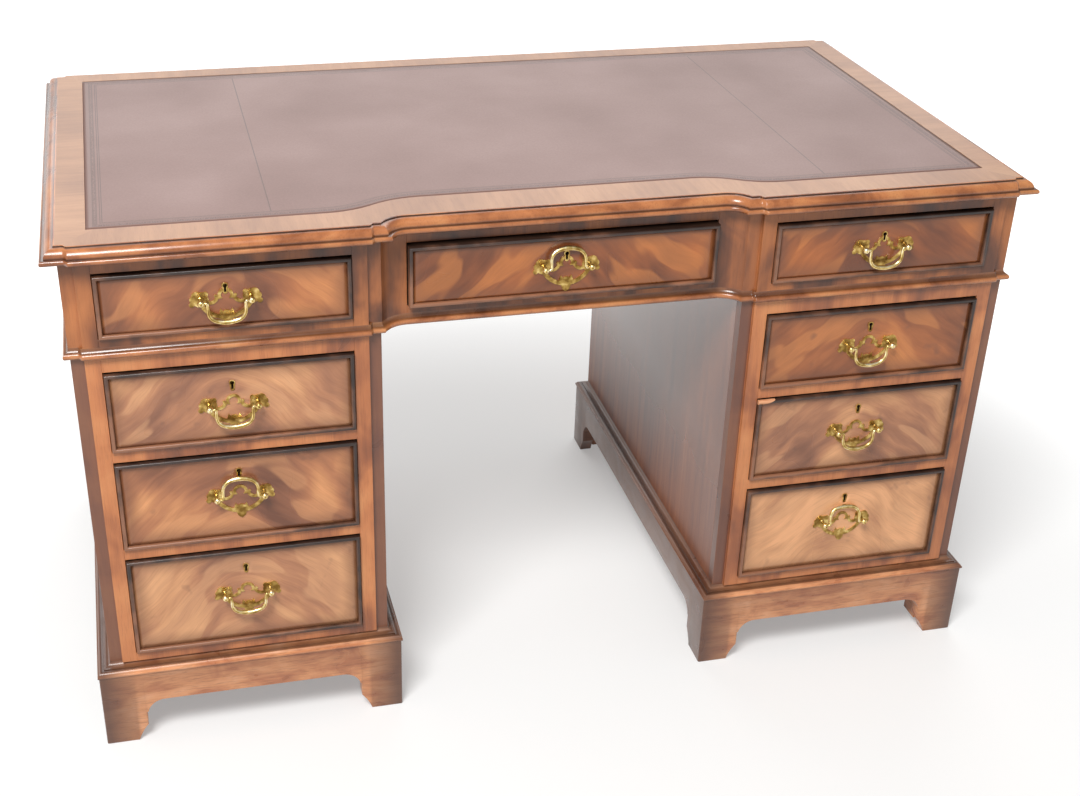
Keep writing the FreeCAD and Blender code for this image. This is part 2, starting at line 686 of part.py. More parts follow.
# The bail hangs in a plane through the posts: a shouldered loop with rounded corners, a gently
# curved grip, and a pin at each end turned out into the posts
def hanging_bail():
    corner = bail_drop - bail_shoulder - bail_flat
    reach = bail_half_width - corner
    fall = bail_drop - bail_shoulder
    grip = (reach ** 2 + fall ** 2 - corner ** 2) / (2 * (fall - corner))
    lean = math.atan2(reach, grip - fall)
    foot_x = reach + corner * math.sin(lean)
    foot_z = -bail_shoulder - corner * math.cos(lean)
    half_turn = (math.pi / 2 - lean) / 2
    mid_x = reach + corner * math.cos(half_turn)
    mid_z = -bail_shoulder - corner * math.sin(half_turn)
    end_z = bail_pin / 2
    points = [Vector(-bail_half_width, 0, end_z), Vector(-bail_half_width, 0, -bail_shoulder),
              Vector(-mid_x, 0, mid_z), Vector(-foot_x, 0, foot_z), Vector(0, 0, -bail_drop),
              Vector(foot_x, 0, foot_z), Vector(mid_x, 0, mid_z),
              Vector(bail_half_width, 0, -bail_shoulder), Vector(bail_half_width, 0, end_z)]
    path = Part.Wire([Part.LineSegment(points[0], points[1]).toShape(),
                      Part.Arc(points[1], points[2], points[3]).toShape(),
                      Part.Arc(points[3], points[4], points[5]).toShape(),
                      Part.Arc(points[5], points[6], points[7]).toShape(),
                      Part.LineSegment(points[7], points[8]).toShape()])
    section = Part.Wire(Part.makeCircle(bail_wire / 2, points[0], Vector(0, 0, -1)))
    loop = path.makePipeShell([section], True, True)
    pin_length = post_spacing / 2 - bail_pin_end - bail_half_width
    pins = [Part.makeCylinder(bail_pin / 2, pin_length, Vector(side * bail_half_width, 0, 0),
                              Vector(side, 0, 0)) for side in (-1, 1)]
    return loop.multiFuse(pins).removeSplitter().Solids[0]


def keyhole(y_low, y_high, radius, slot_half):
    round_part = Part.makeCylinder(radius, y_high - y_low, Vector(0, y_low, 0), Vector(0, 1, 0))
    return round_part.fuse(box(-slot_half, slot_half, y_low, y_high, -key_slot_drop, 0))


# Escutcheon: a thin brass plate round the keyhole, with a round head and a narrower foot
def escutcheon_blank(grow, y_low):
    head = escutcheon_radius + grow
    foot = escutcheon_foot + grow
    drop = key_slot_drop
    body = upright([(-head, 0), (-foot, -drop), (foot, -drop), (head, 0)], y_low, 0)
    top = Part.makeCylinder(head, -y_low, Vector(0, y_low, 0), Vector(0, 1, 0))
    tip = Part.makeCylinder(foot, -y_low, Vector(0, y_low, -drop), Vector(0, 1, 0))
    return body.multiFuse([top, tip]).removeSplitter()


# Tails of a dovetailed drawer side, from its front end back to its root, as an outline of
# distance from the root and height
def tail_outlines(height):
    count = max(2, round(height / tail_pitch))
    pitch = height / count
    outlines = []
    for i in range(count):
        low = i * pitch + pitch * 0.2
        high = (i + 1) * pitch - pitch * 0.2
        outlines.append([(0, low + tail_flare), (tail_length, low), (tail_length, high),
                         (0, high - tail_flare)])
    return outlines


# A drawer with its brass and its lock, drawn with the middle of its face at x = 0, the face at
# y = 0 and its bottom edge at z = 0. Returns its nodes.
def build_drawer(width, height, depth, row, bail_up):
    half = width / 2
    key_z = height - key_below_top[row]
    handle_z = key_z - handle_below_key[row]
    lift_key = Vector(0, 0, key_z)
    lift_handle = Vector(0, 0, handle_z)
    fit = bolt_clearance

    field = box(-half + bead_width, half - bead_width, 0, bead_seat, bead_width, height - bead_width)
    front = field.fuse(box(-half, half, bead_seat, front_thickness, 0, height)).removeSplitter()
    lock_low = key_z - lock_foot
    lock_front = front_thickness - lock_depth
    pocket = box(-lock_width / 2, lock_width / 2, lock_front, front_thickness, lock_low, height)
    bolt_back = front_thickness - (lock_depth - bolt_depth) / 2
    bolt_front = bolt_back - bolt_depth
    channel = box(-bolt_width / 2 - fit, bolt_width / 2 + fit, bolt_front - fit, bolt_back + fit,
                  key_z + bolt_tail - fit, height + margin)
    key_way = keyhole(-margin, lock_front + margin, key_radius, key_slot_width / 2)
    key_way.translate(lift_key)
    front = front.cut(pocket).cut(key_way)
    for side in (-1, 1):
        hole = Part.makeCylinder(post_shank / 2 + hole_clearance, front_thickness + 2 * margin,
                                 Vector(side * post_spacing / 2, -margin, handle_z), Vector(0, 1, 0))
        front = front.cut(hole)

    side_half = half - side_relief
    side_inner = side_half - side_thickness
    side_height = height - side_drop
    back_low = bottom_rise + bottom_thickness
    panel = box(-side_inner - groove_depth, side_inner + groove_depth, front_thickness - groove_depth,
                depth, bottom_rise, back_low)
    boards = []
    for side in (-1, 1):
        low, high = sorted((side * side_inner, side * side_half))
        board = box(low, high, front_thickness, depth, 0, side_height)
        tails = []
        for tail in tail_outlines(side_height):
            face = outline(tail, lambda u, v: Vector(low, front_thickness - u, v))
            tails.append(face.extrude(Vector(high - low, 0, 0)))
        edge_low, edge_high = sorted((side * side_inner, side * half))
        for tail in tail_outlines(side_height):
            face = outline(tail, lambda u, v: Vector(edge_low, front_thickness - u, v))
            front = front.cut(face.extrude(Vector(edge_high - edge_low, 0, 0)))
        boards.append(board.multiFuse(tails).removeSplitter().cut(panel))
    boards.append(box(-side_inner, side_inner, depth - side_thickness, depth,
                      back_low, side_height - side_drop))
    boards.append(panel)
    front = front.cut(panel)

    case = box(-lock_width / 2, lock_width / 2, lock_front, front_thickness, lock_low, height)
    case = case.cut(channel).cut(key_way)
    bolt = box(-bolt_width / 2, bolt_width / 2, bolt_front, bolt_back, key_z + bolt_tail, height - fit)

    escutcheon = escutcheon_blank(0, -escutcheon_thickness)
    escutcheon = escutcheon.cut(keyhole(-2 * escutcheon_thickness, margin, key_radius, key_slot_width / 2))
    escutcheon.translate(lift_key)
    clear = escutcheon_blank(run_clearance, -2 * plate_thickness)
    clear.translate(lift_key)
    plate = back_plate()
    plate.translate(lift_handle)
    brass = [plate.cut(clear).Solids[0], escutcheon, case]
    for side in (-1, 1):
        for piece in [handle_post(side)] + post_nut(side):
            piece.translate(lift_handle)
            brass.append(piece)

    bail = hanging_bail()
    if bail_up:
        bail.rotate(Vector(0, 0, 0), Vector(1, 0, 0), 180 - bail_lean)
    bail.translate(lift_handle - Vector(0, post_reach, 0))
    return {"front": front.Solids + bead_lengths(half, height), "box": boards, "brass": brass,
            "bail": [bail], "lock_bolt": [bolt]}


# Four lengths of cock bead, mitred at the corners, half round where they stand proud
def bead_lengths(half, height):
    radius = bead_width / 2
    straight = radius - bead_proud
    section = [(0, bead_seat), (0, straight), (bead_width, straight, -radius), (bead_width, bead_seat)]
    low_bar = outline(section, lambda u, v: Vector(-half, v, u)).extrude(Vector(2 * half, 0, 0))
    low_keep = upright([(-half, 0), (half, 0), (half - bead_width, bead_width),
                        (-half + bead_width, bead_width)], -bead_proud - margin, bead_seat + margin)
    low_bead = low_bar.common(low_keep).Solids[0]
    high_bead = low_bead.mirror(Vector(0, 0, height / 2), up)
    side_bar = outline(section, lambda u, v: Vector(half - u, v, 0)).extrude(up * height)
    side_keep = upright([(half, 0), (half, height), (half - bead_width, height - bead_width),
                         (half - bead_width, bead_width)], -bead_proud - margin, bead_seat + margin)
    side_bead = side_bar.common(side_keep).Solids[0]
    return [low_bead, high_bead, side_bead, mirrored(side_bead)]


# Every drawer: its name, the place of its face when closed, its row, how far it stands open, and
# whether its bail is turned up against the front
def build_drawers():
    places = [("left_frieze_drawer", -block_centre, bay_front, "frieze", drawer_width, 0.0, False),
              ("centre_frieze_drawer", 0.0, centre_front, "frieze", centre_drawer_width,
               centre_drawer_open, True),
              ("right_frieze_drawer", block_centre, bay_front, "frieze", drawer_width, 0.0, False)]
    turned_up = {("left", "middle"), ("right", "lower")}
    for side, centre_x in (("left", -block_centre), ("right", block_centre)):
        for row in row_heights:
            places.append((side + "_" + row + "_drawer", centre_x, pedestal_front, row, drawer_width,
                           0.0, (side, row) in turned_up))
    for name, centre_x, face_y, row, width, stands_open, bail_up in places:
        case_back = strip_back if row == "frieze" else pedestal_back
        depth = case_back - back_thickness - space_behind_drawers - face_y
        move = Vector(centre_x, face_y - stands_open, row_bottoms[row])
        for node, solids in build_drawer(width, drawer_heights[row], depth, row, bail_up).items():
            for solid in solids:
                solid.translate(move)
            save(name + "_" + node, solids)


os.makedirs("parts", exist_ok=True)
build_top()
build_frieze()
build_pedestals()
build_drawers()
print("desk", 2 * (frieze_half + edge_reach), desk_depth, desk_height)
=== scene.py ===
import json
import math

import bmesh
import bpy
import numpy as np
from mathutils import Matrix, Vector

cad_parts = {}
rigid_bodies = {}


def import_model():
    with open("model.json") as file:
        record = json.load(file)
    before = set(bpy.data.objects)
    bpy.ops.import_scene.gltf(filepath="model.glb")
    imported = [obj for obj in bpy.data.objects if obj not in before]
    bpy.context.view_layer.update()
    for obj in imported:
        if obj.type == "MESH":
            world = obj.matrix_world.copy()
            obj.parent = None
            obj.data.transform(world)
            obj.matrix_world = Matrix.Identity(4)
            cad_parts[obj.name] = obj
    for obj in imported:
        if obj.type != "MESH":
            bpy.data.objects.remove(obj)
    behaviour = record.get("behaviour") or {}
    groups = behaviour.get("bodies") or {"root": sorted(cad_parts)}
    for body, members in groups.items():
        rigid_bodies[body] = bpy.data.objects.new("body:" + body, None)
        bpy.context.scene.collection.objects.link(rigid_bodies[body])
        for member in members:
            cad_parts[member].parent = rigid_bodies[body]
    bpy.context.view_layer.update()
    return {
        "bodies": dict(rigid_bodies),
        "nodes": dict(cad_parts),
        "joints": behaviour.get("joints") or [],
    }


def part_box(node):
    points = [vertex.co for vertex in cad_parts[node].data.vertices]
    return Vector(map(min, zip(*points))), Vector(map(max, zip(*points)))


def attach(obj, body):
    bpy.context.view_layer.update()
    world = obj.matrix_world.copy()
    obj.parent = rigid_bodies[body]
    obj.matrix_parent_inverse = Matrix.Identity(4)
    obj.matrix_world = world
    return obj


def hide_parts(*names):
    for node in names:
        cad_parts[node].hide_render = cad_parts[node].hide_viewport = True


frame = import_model()
scene = bpy.context.scene
mm = 0.001
print("frame loaded:", len(frame["nodes"]), "nodes")

# Sizes of the case, in metres: some are read from the frame, the rest repeat its own values
desk = {
    "kneeholeHalf": 0.2575,
    "stripWidth": 0.0185,
    "bayStep": 0.006,
    "centreSetback": 0.026,
    "hollowRadius": 0.045,
    "drawerGap": 0.001,
    "stileDepth": 0.024,
    "railDepth": 0.032,
    "plinthBoard": 0.022,
}
friezeLow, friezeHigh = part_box("frieze_front_frame")
friezeHalf = friezeHigh.x
bayFront = friezeLow.y
waistZ = friezeLow.z
friezeTop = friezeHigh.z
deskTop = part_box("top_board")[1].z
stripFront = bayFront + desk["bayStep"]
centreFront = bayFront + desk["centreSetback"]
bayInner = desk["kneeholeHalf"] + desk["stripWidth"]
bayOuter = friezeHalf - desk["stripWidth"]
bayMiddle, bayHalf = (bayInner + bayOuter) / 2, (bayOuter - bayInner) / 2
hollowRise = centreFront - stripFront
hollowRun = math.sqrt(desk["hollowRadius"] ** 2 - (desk["hollowRadius"] - hollowRise) ** 2)
hollowX = desk["kneeholeHalf"] - hollowRun
hollowY = centreFront - desk["hollowRadius"]
drawerNames = sorted(name for name in frame["bodies"] if name.endswith("_drawer"))
joints = {joint["name"]: joint for joint in frame["joints"]}


# Meshes: every new piece is arrays of points with faces, put in place in the frame's own metres

# Quads over a grid of rows by columns, with either way closed into a ring
def gridFaces(rows, columns, closeRows=False, closeColumns=False):
    r = np.arange(rows if closeRows else rows - 1)[:, None]
    c = np.arange(columns if closeColumns else columns - 1)[None, :]
    nextRow = (r + 1) % rows
    nextColumn = (c + 1) % columns
    quads = [r * columns + c, r * columns + nextColumn, nextRow * columns + nextColumn, nextRow * columns + c]
    return np.stack(np.broadcast_arrays(*quads), axis=-1).reshape(-1, 4).tolist()


# Faces of a run of ringed rows with flat ends
def tubeFaces(rows, columns):
    ends = [list(range(columns)), list(range((rows - 1) * columns, rows * columns))]
    return gridFaces(rows, columns, closeColumns=True) + ends


# Several (points, faces) parts as one
def joinParts(parts):
    starts = np.cumsum([0] + [len(points) for points, faces in parts])
    points = np.concatenate([points for points, faces in parts])
    faces = [(np.array(face) + start).tolist() for start, (p, own) in zip(starts, parts) for face in own]
    return points, faces


def mirrorPart(part):
    return part[0] * [-1, 1, 1], part[1]


def putInScene(name, data):
    thing = bpy.data.objects.new(name, data)
    scene.collection.objects.link(thing)
    return thing


# Puts a part into the scene: faces turned outwards, edges sharper than the angle kept crisp
def addPiece(name, part, material, body, replaces=(), crisp=40, bevel=0.0, thickness=0.0,
             uv=None, attributes=None):
    points, faces = part
    mesh = bpy.data.meshes.new(name)
    mesh.from_pydata(points.tolist(), [], faces)
    if uv is not None:
        corner = np.zeros(len(mesh.loops), np.int32)
        mesh.loops.foreach_get("vertex_index", corner)
        layer = mesh.uv_layers.new(name="veneer")
        layer.data.foreach_set("uv", uv[corner].astype(np.float32).ravel())
    for key, values in (attributes or {}).items():
        mesh.attributes.new(key, "FLOAT", "POINT").data.foreach_set("value", values.astype(np.float32))
    work = bmesh.new()
    work.from_mesh(mesh)
    bmesh.ops.recalc_face_normals(work, faces=work.faces)
    work.to_mesh(mesh)
    work.free()
    mesh.shade_smooth()
    mesh.set_sharp_from_angle(angle=math.radians(crisp))
    mesh.materials.append(material)
    piece = putInScene(name, mesh)
    if thickness:
        shell = piece.modifiers.new("thickness", "SOLIDIFY")
        shell.thickness = thickness
        shell.offset = -1
    if bevel:
        edge = piece.modifiers.new("easedEdges", "BEVEL")
        edge.width = bevel
        edge.segments = 3
        edge.limit_method = "ANGLE"
        edge.harden_normals = True
    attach(piece, body)
    if replaces:
        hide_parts(*replaces)


# A profile of steps (out, height) or (out, height, sag): a sag bows that stretch to the left of
# its travel, as an arc. Returns points along it, closed from the last back to the first.
def profilePoints(steps, fineness=9):
    runs = []
    for start, end in zip(steps, steps[1:] + steps[:1]):
        first = np.array(start[:2])
        chord = np.array(end[:2]) - first
        sag = end[2] if len(end) > 2 else 0.0
        t = np.linspace(0, 1, fineness if sag else 1, endpoint=False)[:, None]
        left = np.array([-chord[1], chord[0]]) / np.linalg.norm(chord)
        half = np.linalg.norm(chord) / 2
        if sag:
            radius = (half ** 2 + sag ** 2) / (2 * sag)
            along = (2 * t - 1) * math.asin(min(1.0, half / abs(radius)))
            lift = np.sign(sag) * abs(radius) * np.cos(along) - (radius - sag)
            runs.append(first + chord / 2 + chord / (2 * half) * abs(radius) * np.sin(along) + left * lift)
        else:
            runs.append(first + chord * t)
    return np.concatenate(runs)


# A closed plan carried straight up from one height to another, with flat ends
def extruded(plan, low, high):
    points = np.concatenate([np.column_stack([plan, np.full(len(plan), z)]) for z in (low, high)])
    return points, tubeFaces(2, len(plan))


# A board between two corners
def boxPart(low, high):
    (x0, y0, z0), (x1, y1, z1) = low, high
    return extruded([(x0, y0), (x1, y0), (x1, y1), (x0, y1)], z0, z1)


# A profile carried round a rectangle and mitred at its corners. Each profile point runs inset inside
# the rectangle and at its own place on the third axis. axes numbers the rectangle's two and the third.
def mitredRing(low, high, inset, third, axes):
    side = np.array([(0, 0), (1, 0), (1, 1), (0, 1)])
    points = np.zeros((4, len(inset), 3))
    corner, inward = np.where(side, high, low)[:, None, :], (1 - 2 * side)[:, None, :]
    points[:, :, axes[:2]] = corner + inward * inset[:, None]
    points[:, :, axes[2]] = third
    return points.reshape(-1, 3), gridFaces(4, len(inset), True, True)


# Materials

def srgb(hexText):
    c = np.array([int(hexText[i:i + 2], 16) for i in (1, 3, 5)]) / 255
    linear = np.where(c <= 0.04045, c / 12.92, ((c + 0.055) / 1.055) ** 2.4)
    return (*linear.tolist(), 1.0)


def newMaterial(name):
    material = bpy.data.materials.new(name)
    material.use_nodes = True
    material.node_tree.nodes.clear()
    return material, material.node_tree


# Adds a node: links joins its inputs to sockets, values sets them, stops fills a colour ramp
def addNode(tree, kind, links=None, values=None, stops=None, **settings):
    node = tree.nodes.new("ShaderNode" + kind)
    for key, value in settings.items():
        setattr(node, key, value)
    for key, value in (values or {}).items():
        node.inputs[key].default_value = value
    for key, socket in (links or {}).items():
        tree.links.new(socket, node.inputs[key])
    if stops:
        ramp = node.color_ramp
        while len(ramp.elements) < len(stops):
            ramp.elements.new(0.5)
        for element, (place, colour) in zip(ramp.elements, stops):
            element.position = place
            element.color = srgb(colour)
    return node


def objectPlace(tree):
    return addNode(tree, "TexCoord").outputs["Object"]


def attributeOf(tree, name):
    return addNode(tree, "Attribute", attribute_name=name).outputs["Fac"]


def axesOf(tree, vector):
    return addNode(tree, "SeparateXYZ", {0: vector}).outputs


# How far a surface faces the back of the desk, from -1 to 1
def facingBack(tree):
    return axesOf(tree, addNode(tree, "NewGeometry").outputs["Normal"])["Y"]


# Arithmetic on sockets and plain numbers
def maths(tree, operation, *terms):
    links = {i: term for i, term in enumerate(terms) if isinstance(term, bpy.types.NodeSocket)}
    values = {i: term for i, term in enumerate(terms) if i not in links}
    return addNode(tree, "Math", links, values, operation=operation).outputs[0]


# Reads a value over one span and gives it out over another, held at both ends
def spread(tree, value, over, to, kind="LINEAR"):
    values = {"From Min": over[0], "From Max": over[1], "To Min": to[0], "To Max": to[1]}
    return addNode(tree, "MapRange", {"Value": value}, values, interpolation_type=kind).outputs[0]


# Noise with a pattern size in millimetres, the same along all axes or one for each. A seed moves it
# through a fourth dimension.
def noise(tree, place, sizeMm, seed=None, output="Fac", **values):
    if isinstance(sizeMm, tuple):
        scale = [1000 / size for size in sizeMm]
        place = addNode(tree, "Mapping", {"Vector": place}, {"Scale": scale}).outputs[0]
        sizeMm = 1000
    values["Scale"] = 1000 / sizeMm
    links, dimensions = {"Vector": place}, "3D"
    if seed is not None:
        links["W"], dimensions = seed, "4D"
    return addNode(tree, "TexNoise", links, values, noise_dimensions=dimensions).outputs[output]


def mixed(tree, first, second, share):
    return addNode(tree, "Mix", {"A": first, "B": second}, {"Factor": share}, data_type="FLOAT").outputs[0]


def coloured(tree, value, stops):
    return addNode(tree, "ValToRGB", {"Fac": value}, stops=stops).outputs[0]


# Lays one colour over a surface by a share that varies
def tinted(tree, surface, share, colour, blend="MIX"):
    return addNode(tree, "Mix", {"Factor": share, 6: surface}, {7: srgb(colour)}, data_type="RGBA",
                   blend_type=blend).outputs[2]


def bumped(tree, height, strength, depth):
    return addNode(tree, "Bump", {"Height": height}, {"Strength": strength, "Distance": depth}).outputs[0]


def addShader(tree, links, values, kind="BsdfPrincipled"):
    shader = addNode(tree, kind, links, values)
    addNode(tree, "OutputMaterial", {"Surface": shader.outputs[0]})


# Wood with its grain along one axis: a long streaky figure, fine open pores and slow patches of darker
# polish. grain, pores and patch are pattern sizes in millimetres along X, Y and Z. A look may add dark
# ends of polish and painted shade, dark polish and painted shade by a mesh attribute, bare wood on faces
# turned inwards, and polish worn off low down.
def grainedWood(look):
    material, tree = newMaterial(look["name"])
    place = objectPlace(tree)
    streak = noise(tree, place, look["grain"], Detail=6.0, Roughness=0.6, Distortion=look["wave"])
    pore = noise(tree, place, look["pores"], Detail=3.0, Roughness=0.65)
    patch = noise(tree, place, look["patch"], Detail=3.0, Roughness=0.5, Distortion=0.8)
    surface = coloured(tree, mixed(tree, streak, patch, look["patchShare"]), look["stops"])
    poreDark = spread(tree, pore, over=(0.52, 0.72), to=(0.0, look["poreDepth"]))
    surface = tinted(tree, surface, poreDark, look["poreColour"])
    if "ends" in look:
        surface = darkEnds(tree, place, surface, look["ends"])
    if "grimeAndShade" in look:
        surface = tinted(tree, surface, attributeOf(tree, "grimeAndShade"), look["grimeAndShade"])
    if "inner" in look:
        surface = tinted(tree, surface, maths(tree, "GREATER_THAN", facingBack(tree), 0.5), look["inner"])
    links = {"Base Color": surface, "Roughness": spread(tree, patch, over=(0.3, 0.7), to=look["rough"]),
             "Normal": bumped(tree, pore, look["relief"], 0.4 * mm)}
    if "worn" in look:
        worn = look["worn"]
        height = axesOf(tree, place)["Z"]
        dull = spread(tree, height, over=worn["heights"], to=(worn["dull"], 0.0))
        links["Roughness"] = maths(tree, "ADD", links["Roughness"], dull)
        links["Coat Weight"] = spread(tree, height, over=worn["heights"], to=(worn["film"], look["coat"]))
    addShader(tree, links, {"IOR": 1.5, "Coat Weight": look["coat"], "Coat Roughness": 0.18})
    return material


# Darker colour at both ends of a pedestal's front, below the waist, partly darker polish and partly painted
# shade on the set-back strips and end boards: it sets in over a span of distance either side of the
# pedestal's middle
def darkEnds(tree, place, colour, ends):
    part = axesOf(tree, place)
    off = maths(tree, "SUBTRACT", maths(tree, "ABSOLUTE", part["X"]), bayMiddle)
    share = spread(tree, maths(tree, "ABSOLUTE", off), over=ends["span"], to=(0.0, ends["share"]))
    under = maths(tree, "LESS_THAN", part["Z"], waistZ)
    return tinted(tree, colour, maths(tree, "MULTIPLY", share, under), ends["colour"])


# Solid mahogany of stiles and rails, upright grain, French polished by hand: a warm orange brown,
# with slow smudges of darker polish and fine dark pores; the corner strips beyond the stiles are dark,
# partly darker polish and partly painted shade in their set-back corners
frameMahogany = grainedWood({
    "name": "frenchPolishedMahogany", "grain": (18, 18, 300), "pores": (1.3, 1.3, 26), "patch": (95, 95, 150),
    "wave": 0.4, "patchShare": 0.7, "poreDepth": 0.25, "poreColour": "#5a301a", "rough": (0.26, 0.42),
    "relief": 0.2, "coat": 0.3,
    "ends": {"span": (bayHalf + 0.2 * mm, bayHalf + 0.4 * mm), "share": 0.78, "colour": "#5a3a30"},
    "stops": [(0.32, "#74422a"), (0.43, "#9b5a35"), (0.53, "#bf7646"), (0.68, "#d28c58")]})

# The same wood on the frieze, painted a deep brown as painted shade under the top's overhang
shadedFriezeMahogany = grainedWood({
    "name": "mahoganyPaintedShade", "grain": (18, 18, 300), "pores": (1.3, 1.3, 26), "patch": (75, 75, 120),
    "wave": 0.4, "patchShare": 0.75, "poreDepth": 0.25, "poreColour": "#3c2013", "rough": (0.3, 0.44),
    "relief": 0.2, "coat": 0.1,
    "stops": [(0.32, "#3f2214"), (0.43, "#6c3e25"), (0.53, "#955933"), (0.68, "#b57142")]})

# The same wood on the broad side panels: plain long grain under a glassy polish that takes on the grey
# of the room, and that is worn dull towards the plinth
panelMahogany = grainedWood({
    "name": "fadedMahoganyPanel", "grain": (16, 16, 480), "pores": (1.6, 1.6, 34), "patch": (110, 110, 260),
    "wave": 0.3, "patchShare": 0.5, "poreDepth": 0.4, "poreColour": "#3c1c10", "rough": (0.14, 0.2),
    "relief": 0.1, "coat": 1.0, "worn": {"heights": (0.12, 0.36), "film": 0.15, "dull": 0.4},
    "stops": [(0.3, "#592d1c"), (0.45, "#7a442a"), (0.58, "#8f5434"), (0.75, "#a06442")]})

# Plinth boards: the same polish, paler and bruised, dark towards the feet and in the mouldings' quirks from
# dark polish and painted shade
plinthMahogany = grainedWood({
    "name": "wornMahoganyPlinth", "grain": (120, 120, 14), "pores": (24, 24, 1.4), "patch": (70, 70, 45),
    "wave": 0.5, "patchShare": 0.6, "poreDepth": 0.45, "poreColour": "#4f2d1c", "rough": (0.24, 0.42),
    "relief": 0.25, "coat": 0.3, "grimeAndShade": "#3a2117",
    "ends": {"span": (0.168, 0.214), "share": 0.84, "colour": "#5a392c"},
    "stops": [(0.3, "#8b5136"), (0.42, "#b9754f"), (0.53, "#d79466"), (0.68, "#e4a880")]})

# Cross-grained mouldings, rubbed to a clear orange, with dark polish left in streaks, and the quirks painted
# dark as dark polish together with painted shade
mouldingMahogany = grainedWood({
    "name": "crossGrainedMahogany", "grain": (70, 70, 70), "pores": (1.6, 1.6, 5), "patch": (90, 90, 40),
    "wave": 0.6, "patchShare": 0.6, "poreDepth": 0.35, "poreColour": "#4a2412", "rough": (0.24, 0.36),
    "relief": 0.12, "coat": 0.35, "grimeAndShade": "#2e180e",
    "stops": [(0.32, "#4d2913"), (0.43, "#8a4f2b"), (0.53, "#b06d40"), (0.68, "#c98a55")]})

# Edges of the drawer fronts, painted nearly black as painted shade in the gaps round the drawers, and their
# bare inside
shadowEdgeMahogany = grainedWood({
    "name": "mahoganyEdgePaintedShade", "grain": (200, 20, 20), "pores": (20, 1.6, 1.6), "patch": (90, 90, 90),
    "wave": 0.4, "patchShare": 0.5, "poreDepth": 0.3, "poreColour": "#170d08", "rough": (0.5, 0.6),
    "relief": 0.2, "coat": 0.0, "inner": "#6f4a30",
    "stops": [(0.3, "#1d110b"), (0.45, "#2a1910"), (0.58, "#342014"), (0.74, "#40281a")]})

# Bare wood where a splinter came away: pale pinkish brown, dry and unpolished
splitMahogany = grainedWood({
    "name": "splitMahogany", "grain": (60, 6, 6), "pores": (14, 1.4, 1.4), "patch": (30, 30, 30),
    "wave": 0.4, "patchShare": 0.4, "poreDepth": 0.4, "poreColour": "#8a5636", "rough": (0.6, 0.75),
    "relief": 0.4, "coat": 0.0,
    "stops": [(0.3, "#b87c55"), (0.45, "#cd9168"), (0.58, "#dba37b"), (0.74, "#e6b591")]})

# Bare planed oak of the drawer linings and runners, browned by age
liningOak = grainedWood({
    "name": "planedOakLining", "grain": (11, 190, 11), "pores": (1.2, 20, 1.2), "patch": (90, 160, 90),
    "wave": 0.4, "patchShare": 0.4, "poreDepth": 0.55, "poreColour": "#5d4228", "rough": (0.6, 0.75),
    "relief": 0.4, "coat": 0.0,
    "stops": [(0.3, "#8a6a47"), (0.48, "#a88559"), (0.6, "#b8966a"), (0.76, "#c8a97d")]})


# Cock bead: thin stained strips under old wax, with painted light and shade: the upper and side strips
# are painted nearly black as painted shade, and the lower one, which faces up, is painted brown as painted
# light.
def stainedBead():
    look = {"wearMm": 45, "stops": [(0.35, "#1a100c"), (0.6, "#32211a"), (0.8, "#5f4030"), (1.0, "#8a5d44")]}
    material, tree = newMaterial("stainedCockBead")
    wear = noise(tree, objectPlace(tree), look["wearMm"], Detail=5.0)
    # the attribute adds painted light to each strip, lifting it towards brown
    colour = coloured(tree, maths(tree, "ADD", wear, attributeOf(tree, "paintedStripLight")), look["stops"])
    addShader(tree, {"Base Color": colour},
              {"Roughness": 0.33, "IOR": 1.5, "Coat Weight": 0.12, "Coat Roughness": 0.12})
    return material


# Crossbanded border of the top: mahogany veneer with its grain straight out to the nearest edge,
# mitred at the corners, faded by light to a clear golden brown. half is where the border ends, in
# metres from the middle, and shift cuts the side lengths from another part of the sheet.
def crossbandVeneer():
    look = {"half": (0.6655, 0.357), "shift": 0.35, "grain": (9, 130, 100), "board": (150, 400, 100),
            "pores": (1.1, 20, 100), "boardShare": 0.75, "poreDepth": 0.35, "poreColour": "#68401f",
            "stops": [(0.3, "#795037"), (0.44, "#926646"), (0.55, "#a17350"), (0.7, "#af825d")]}
    material, tree = newMaterial("crossbandedMahogany")
    part = axesOf(tree, objectPlace(tree))
    room = [maths(tree, "SUBTRACT", half, maths(tree, "ABSOLUTE", part[axis]))
            for axis, half in zip("XY", look["half"])]
    atSide = maths(tree, "LESS_THAN", *room)
    swapped = addNode(tree, "CombineXYZ", {"X": part["Y"], "Y": part["X"]}, {"Z": look["shift"]}).outputs[0]
    flat = addNode(tree, "CombineXYZ", {"X": part["X"], "Y": part["Y"]}).outputs[0]
    run = addNode(tree, "Mix", {"Factor": atSide, 4: flat, 5: swapped}, data_type="VECTOR").outputs[1]
    grain, board, pore = (noise(tree, run, look[key], Detail=4.0, Roughness=0.55, Distortion=0.3)
                          for key in ("grain", "board", "pores"))
    colour = coloured(tree, mixed(tree, grain, board, look["boardShare"]), look["stops"])
    poreDark = spread(tree, pore, over=(0.52, 0.75), to=(0.0, look["poreDepth"]))
    addShader(tree, {"Base Color": tinted(tree, colour, poreDark, look["poreColour"])},
              {"Roughness": 0.38, "IOR": 1.5})
    return material


